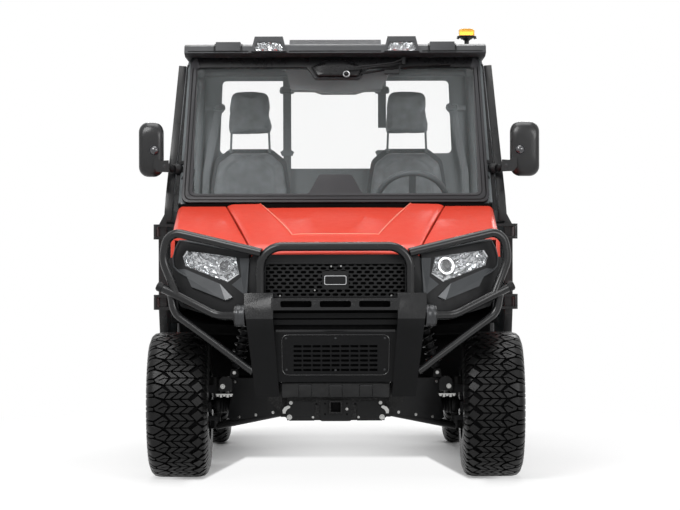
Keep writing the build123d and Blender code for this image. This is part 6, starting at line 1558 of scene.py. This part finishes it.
def padded_form(name, outline, start, depth, to_point, radius, cap, seams=(), replaces=(), voxel=0.008):
    """A stitched cushion: remeshed, blown up as cloth, capped, sewn along its seams, then smoothed."""
    bm = bmesh.new()
    add_prism(bm, edge_rounded(outline, radius), start, depth, to_point)
    bmesh.ops.recalc_face_normals(bm, faces=bm.faces)
    bevel(bm, min(abs(depth) * 0.28, 0.028), 40, 3)
    mesh = bpy.data.meshes.new(name + "_start")
    bm.to_mesh(mesh)
    bm.free()
    obj = bpy.data.objects.new(name + "_start", mesh)
    bpy.context.scene.collection.objects.link(obj)
    remesh = obj.modifiers.new("remesh", "REMESH")
    remesh.mode = "VOXEL"
    remesh.voxel_size = voxel
    even = baked(obj)
    obj.modifiers.remove(remesh)
    obj.data = even
    rest = [v.co.copy() for v in even.vertices]
    cloth = obj.modifiers.new("fill", "CLOTH")
    cloth.settings.use_pressure = True
    cloth.settings.uniform_pressure_force = 4.0
    cloth.settings.effector_weights.gravity = 0.0
    cloth.settings.quality = 5
    cloth.point_cache.frame_start = 1
    cloth.point_cache.frame_end = 20
    for number in range(1, 21):
        bpy.context.scene.frame_set(number)
    even = baked(obj)
    obj.modifiers.remove(cloth)
    obj.data = even
    bpy.context.scene.frame_set(1)
    for v, home in zip(even.vertices, rest):
        shift = v.co - home
        if shift.length > cap:
            v.co = home + shift.normalized() * cap
    normals = [v.normal.copy() for v in even.vertices]
    for v, normal in zip(even.vertices, normals):
        pull = sum(seam(v.co, normal) for seam in seams)
        v.co -= normal * min(pull, 0.006)
    smooth = obj.modifiers.new("smooth", "SUBSURF")
    smooth.levels = 1
    final = baked(obj)
    obj.modifiers.remove(smooth)
    bpy.data.objects.remove(obj)
    for polygon in final.polygons:
        polygon.use_smooth = True
    final.materials.clear()
    final.materials.append(VINYL)
    done = bpy.data.objects.new(name, final)
    bpy.context.scene.collection.objects.link(done)
    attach(done, VEHICLE)
    if replaces:
        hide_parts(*replaces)
    return done


def groove(distance, depth=0.004, width=0.008):
    """How far a seam pulls the cover in, at a distance from it."""
    return depth * math.exp(-(distance / width) ** 2)


for label, seat_x in (("driver", 0.350), ("passenger", -0.420)):
    def at_seat(u, v, w, seat_x=seat_x):
        return (seat_x + u, w, v)

    def cushion_seam(p, normal, seat_x=seat_x):
        if normal.z < 0.3:
            return groove(p.z - 0.792, 0.003, 0.006)
        u = abs(p.x - seat_x)
        return (groove(u - 0.128) + (groove(p.y - 0.070) + groove(p.y + 0.020, 0.003) if u < 0.128 else 0))

    padded_form(f"seat_cushion_{label}", ((-0.060, 0.762), (-0.082, 0.868), (-0.050, 0.886), (0.240, 0.862),
                                          (0.268, 0.762)), seat_x - 0.198, 0.396,
                lambda u, v, w: (w, u, v), 0.020, 0.012, (cushion_seam,), ("seat_cushions",))

    def back_seam(p, normal, seat_x=seat_x):
        if normal.y > -0.3:
            return groove(p.y - 0.275, 0.003, 0.006)
        u = abs(p.x - seat_x)
        edge = 0.118 if p.z < 1.36 else 0.118 * math.sqrt(max(0.0, 1 - ((p.z - 1.36) / 0.085) ** 2))
        lines = groove(u - edge) if p.z < 1.445 else 0
        return lines + (groove(p.z - 1.115, 0.0035) + groove(p.z - 1.235, 0.0035) if u < edge else 0)

    padded_form(f"seat_back_{label}", ((-0.182, 0.915), (0.182, 0.915), (0.190, 1.300), (0.166, 1.430),
                                       (0.098, 1.484), (-0.098, 1.484), (-0.166, 1.430), (-0.190, 1.300)),
                0.238, 0.076, at_seat, 0.055, 0.012, (back_seam,), ("seat_backs",))
    padded_form(f"headrest_{label}", ((-0.101, 1.568), (0.101, 1.568), (0.1055, 1.606), (0.091, 1.775),
                                      (-0.091, 1.775), (-0.1055, 1.606)),
                0.238, 0.052, at_seat, 0.040, 0.009,
                (lambda p, normal: groove(p.y - 0.262, 0.002, 0.005),), ("headrests",), 0.007)
    posts = bmesh.new()
    for sign in (1, -1):
        foot_x = seat_x + sign * 0.096
        add_tube(posts, ((foot_x, 0.277, 1.476), (seat_x + sign * 0.090, 0.277, 1.63)), 0.0055, 14)
        add_lathe(posts, ((0, 0.007), (0, 0.012), (0.010, 0.010), (0.010, 0.007)), (foot_x, 0.277, 1.484),
                  (0, 0, 1), 20)
    piece(f"headrest_posts_{label}", posts, CABIN, smooth=45)
    shell = bmesh.new()
    add_prism(shell, edge_rounded(((-0.190, 0.905), (0.190, 0.905), (0.196, 1.300), (0.174, 1.440),
                                   (0.104, 1.496), (-0.104, 1.496), (-0.174, 1.440), (-0.196, 1.300)), 0.05),
              0.300, 0.026, at_seat)
    bevel(shell, 0.008, 40, 3)
    piece(f"seat_shell_{label}", shell, CABIN_DARK, smooth=45)
    # the buckle stands at the side of the seat that faces the vehicle's middle
    inner_x = seat_x + (-0.222 if seat_x > 0 else 0.222)
    buckle = bmesh.new()
    add_box(buckle, (-0.012, -0.009, 0.0), (0.012, 0.009, 0.075))
    bevel(buckle, 0.003, 40, 2)
    bmesh.ops.transform(buckle, matrix=Matrix.Translation((inner_x, 0.205, 0.862))
                        @ Matrix.Rotation(math.radians(-14), 4, "X"), verts=buckle.verts)
    piece(f"belt_buckle_{label}", buckle, TRIM, smooth=35)

# ---------------------------------------------------------------- rear body
refined("cargo_bed", LINER, "cargo_bed", 0.003)
refined("tailgate", LINER, "tailgate", 0.003)
refined("rear_fenders", MOULDED, width=0.003)
refined("lift_barrel", BAR, "lift_barrel", 0.0012)
refined("lift_rod", STEEL, "lift_rod", 0.0006)

ribs = bmesh.new()
for k in range(11):
    x = -0.60 + 0.12 * k
    add_box(ribs, (x - 0.016, 0.480, 0.8248), (x + 0.016, 1.470, 0.8300))
for sign in (1, -1):
    for k in range(7):
        y = 0.540 + 0.140 * k
        add_box(ribs, (sign * 0.7440, y, 0.835), (sign * 0.7520, y + 0.050, 1.075))
    add_box(ribs, (sign * 0.7440, 0.470, 1.075), (sign * 0.7540, 1.440, 1.100))
for k in range(8):
    x = -0.63 + 0.18 * k
    add_box(ribs, (x - 0.02, 0.4350, 0.840), (x + 0.02, 0.4430, 1.070))
bevel(ribs, 0.0025, 40, 2)
piece("bed_ribs", ribs, LINER, "cargo_bed", smooth=35)
boxes("tailgate_pressings", [((x - 0.15, 1.499, 0.868), (x + 0.15, 1.5055, 1.038))
                             for x in (-0.40, 0.0, 0.40)], LINER, "tailgate", 0.003)
grip = bmesh.new()
add_tube(grip, rounded_path([(x, y, 1.064) for x, y in ((-0.052, 1.500), (-0.052, 1.505), (0.052, 1.505),
                                                        (0.052, 1.500))], 0.0049), 0.0045, 10)
for sign in (1, -1):
    add_tube(grip, [(sign * x, y, 1.060) for x, y in ((0.655, 1.4985), (0.655, 1.5045), (0.690, 1.5045))],
             0.0050, 10)
piece("tailgate_latches", grip, ZINC, "tailgate", smooth=45)
for side, sign in SIDES:
    shell = bmesh.new()
    add_prism(shell, rounded_rect(0.0165, 0.080, 0.008, 5), 1.4802, 0.0060,
              lambda u, v, w, s=sign: (s * 0.722 + u, w, 0.960 + v))
    piece(f"tail_lamp_case_{side}", shell, TRIM, "cargo_bed", smooth=35)
    lens = bmesh.new()
    for low, high in ((0.884, 0.930), (0.934, 0.986), (0.990, 1.036)):
        add_prism(lens, rounded_rect(0.0145, (high - low) / 2, 0.006, 5), 1.4862, 0.0075,
                  lambda u, v, w, s=sign, z=(low + high) / 2: (s * 0.722 + u, w, z + v))
    bevel(lens, 0.0015, 40, 2)
    piece(f"tail_lamp_lens_{side}", lens, RED_LENS, "cargo_bed", ("tail_lamps",), smooth=35)

REAR_POINT = Vector((0, REAR_AXLE_Y, AXLE_Z))
for side, sign in SIDES:
    flare = bmesh.new()
    arch_sheet(flare, REAR_POINT, 0.3725, sign * 0.545, sign * 0.797, 22, 158)
    thickened(piece(f"rear_liner_{side}", flare, MOULDED, smooth=50), 0.003)
    edge = bmesh.new()
    angles = [math.radians(20 + 140 * k / 32) for k in range(33)]
    add_tube(edge, [REAR_POINT + Vector((sign * 0.797, -0.380 * math.cos(a), 0.380 * math.sin(a)))
                    for a in angles], 0.0060, 10)
    piece(f"rear_arch_edge_{side}", edge, MOULDED, smooth=60)
    boxes(f"mud_flap_{side}", (((sign * 0.575, 1.3175, 0.300), (sign * 0.790, 1.3215, 0.470)),), RUBBER,
          edge=0.0015, segments=1)

# exhaust: the silencer with its bands, the tail pipe and the pipe from the engine
pipe = bmesh.new()
add_lathe(pipe, ((0, 0), (0, 0.052), (0.008, 0.060), (0.312, 0.060), (0.320, 0.052), (0.320, 0)),
          (-0.165, 1.235, 0.590), (1, 0, 0), 40, False)
for x in (-0.155, -0.005, 0.145):
    add_lathe(pipe, ((-0.004, 0.0595), (-0.004, 0.0625), (0.004, 0.0625), (0.004, 0.0595)), (x, 1.235, 0.590),
              (1, 0, 0), 40)
add_tube(pipe, rounded_path(((0.150, 1.235, 0.590), (0.215, 1.235, 0.590), (0.215, 1.400, 0.560),
                             (0.215, 1.462, 0.545)), 0.05), 0.021, 18)
add_tube(pipe, rounded_path(((-0.160, 1.235, 0.590), (-0.205, 1.200, 0.590), (-0.170, 0.900, 0.560),
                             (-0.120, 0.640, 0.560)), 0.06), 0.019, 18)
piece("exhaust", pipe, CAST, smooth=40)

# ---------------------------------------------------------------- stage, camera and light


def lamp(name, place, target, size, power):
    """A soft white panel of light, aimed at a place."""
    data = bpy.data.lights.new(name, "AREA")
    data.shape = "RECTANGLE"
    data.size, data.size_y = size
    data.energy = power
    obj = bpy.data.objects.new(name, data)
    obj.location = place
    obj.rotation_euler = (Vector(target) - Vector(place)).to_track_quat("-Z", "Y").to_euler()
    bpy.context.scene.collection.objects.link(obj)


def node_math(tree, kind, first, second=None, third=None):
    """A math node's output; numbers go in its sockets, outputs are linked."""
    node = tree.nodes.new("ShaderNodeMath")
    node.operation = kind
    for number, value in enumerate((first, second, third)):
        if isinstance(value, bpy.types.NodeSocket):
            tree.links.new(value, node.inputs[number])
        elif value is not None:
            node.inputs[number].default_value = value
    return node.outputs["Value"]


def seen_directly(tree):
    """1 for rays that show the background: the camera's, and those seen in metal or through glass."""
    path = tree.nodes.new("ShaderNodeLightPath")
    total = path.outputs["Is Camera Ray"]
    for kind in ("Is Glossy Ray", "Is Transmission Ray"):
        total = node_math(tree, "MAXIMUM", total, path.outputs[kind])
    return total


def ramp(tree, value, start, end, low=0.0, high=1.0):
    """A smooth step from low at start to high at end."""
    node = tree.nodes.new("ShaderNodeMapRange")
    node.interpolation_type = "SMOOTHSTEP"
    tree.links.new(value, node.inputs["Value"])
    for name, number in (("From Min", start), ("From Max", end), ("To Min", low), ("To Max", high)):
        node.inputs[name].default_value = number
    return node.outputs["Result"]


FLOOR_WHITE = (0.96, 0.96, 0.96, 1)
# the floor's glow: far off, in the strip before the vehicle, and under its middle, where it falls off
# with the square of the way across and towards the rear
FAR_GLOW_LOW = 0.60
FRONT_GLOW = 0.93
UNDER_GLOW = 0.74
UNDER_GLOW_ACROSS = -1.70
UNDER_GLOW_REARWARD = -0.15


def floor_glow(tree):
    """How much the floor glows: least where the vehicle's own shadow lies, most in the strip before it
    and far off, where the floor turns plain white."""
    place = tree.nodes.new("ShaderNodeTexCoord")
    axes = tree.nodes.new("ShaderNodeSeparateXYZ")
    tree.links.new(place.outputs["Object"], axes.inputs["Vector"])
    y = axes.outputs["Y"]
    across = node_math(tree, "ABSOLUTE", axes.outputs["X"])
    oval = tree.nodes.new("ShaderNodeVectorMath")
    oval.operation = "MULTIPLY"
    oval.inputs[1].default_value = (1.25, 0.80, 1.0)
    tree.links.new(place.outputs["Object"], oval.inputs[0])
    away = tree.nodes.new("ShaderNodeVectorMath")
    away.operation = "LENGTH"
    tree.links.new(oval.outputs["Vector"], away.inputs[0])
    far = ramp(tree, away.outputs["Value"], 1.5, 3.4, low=FAR_GLOW_LOW)
    between_tyres = ramp(tree, across, 0.60, 0.74, 1.0, 0.0)
    lit = node_math(tree, "MAXIMUM", far, node_math(tree, "MULTIPLY", between_tyres, FRONT_GLOW))
    # where the shaded part lies: its front edge bends forward to the tyres, and it fades out at the rear
    past = node_math(tree, "MAXIMUM", node_math(tree, "SUBTRACT", across, 0.435), 0.0)
    behind_edge = ramp(tree, node_math(tree, "MULTIPLY_ADD", past, 8.5, y), -0.10, 0.14)
    reach = node_math(tree, "MULTIPLY", between_tyres, ramp(tree, y, -1.30, -1.10))
    shaded = node_math(tree, "MULTIPLY", behind_edge, reach)
    shaded = node_math(tree, "MULTIPLY", shaded, ramp(tree, y, 2.3, 3.1, 1.0, 0.0))
    squared = node_math(tree, "MULTIPLY", across, across)
    under = node_math(tree, "MULTIPLY_ADD", squared, UNDER_GLOW_ACROSS, UNDER_GLOW)
    under = node_math(tree, "MULTIPLY_ADD", y, UNDER_GLOW_REARWARD, under)
    under = node_math(tree, "MAXIMUM", under, 0.0)
    return node_math(tree, "MULTIPLY_ADD", node_math(tree, "SUBTRACT", under, lit), shaded, lit)


def floor_material():
    """A white floor of one colour, with a glow that shows to the camera and in metal and glass only."""
    m = bpy.data.materials.new("studio_floor")
    m.use_nodes = True
    tree = m.node_tree
    shader = tree.nodes["Principled BSDF"]
    shader.inputs["Base Color"].default_value = FLOOR_WHITE
    shader.inputs["Roughness"].default_value = 0.7
    shader.inputs["Specular IOR Level"].default_value = 0.1
    glow = tree.nodes.new("ShaderNodeEmission")
    glow.inputs["Color"].default_value = (1, 1, 1, 1)
    glow.inputs["Strength"].default_value = 1.0
    mix = tree.nodes.new("ShaderNodeMixShader")
    tree.links.new(node_math(tree, "MULTIPLY", floor_glow(tree), seen_directly(tree)), mix.inputs["Fac"])
    tree.links.new(shader.outputs["BSDF"], mix.inputs[1])
    tree.links.new(glow.outputs["Emission"], mix.inputs[2])
    tree.links.new(mix.outputs["Shader"], tree.nodes["Material Output"].inputs["Surface"])
    return m


def build_stage():
    """The floor, the world and four soft lamps."""
    bm = bmesh.new()
    corners = [bm.verts.new(p) for p in ((-30, -30, 0), (30, -30, 0), (30, 30, 0), (-30, 30, 0))]
    bm.faces.new(corners)
    mesh = bpy.data.meshes.new("studio_floor")
    bm.to_mesh(mesh)
    bm.free()
    mesh.materials.append(floor_material())
    floor = bpy.data.objects.new("studio_floor", mesh)
    bpy.context.scene.collection.objects.link(floor)
    world = bpy.data.worlds.new("studio_world")
    bpy.context.scene.world = world
    world.use_nodes = True
    tree = world.node_tree
    back = tree.nodes["Background"]
    strength = tree.nodes.new("ShaderNodeMapRange")
    tree.links.new(seen_directly(tree), strength.inputs["Value"])
    strength.inputs["To Min"].default_value = 0.20
    strength.inputs["To Max"].default_value = 1.0
    back.inputs["Color"].default_value = (1, 1, 1, 1)
    tree.links.new(strength.outputs["Result"], back.inputs["Strength"])
    lamp("key", (-3.5, -7.0, 6.5), (0, -0.6, 0.9), (4.0, 3.0), 470)
    lamp("fill", (5.0, -7.5, 3.6), (0, -0.6, 0.9), (4.0, 3.0), 250)
    lamp("top", (0, -0.5, 7.5), (0, 0, 1.0), (5.0, 6.0), 380)
    lamp("back", (0.5, 7.0, 4.5), (0, 0.5, 1.2), (5.0, 3.0), 230)


def build_camera():
    """The camera at the photograph's place and angle."""
    data = bpy.data.cameras.new("photo_camera")
    data.lens = 132.5
    data.sensor_width = 36.0
    data.clip_end = 100.0
    camera = bpy.data.objects.new("photo_camera", data)
    camera.location = (0.02, -12.04, 0.973)
    camera.rotation_euler = (math.radians(90), math.radians(0.15), 0)
    bpy.context.scene.collection.objects.link(camera)
    bpy.context.scene.camera = camera


build_stage()
build_camera()
bpy.context.scene.view_settings.view_transform = "Standard"
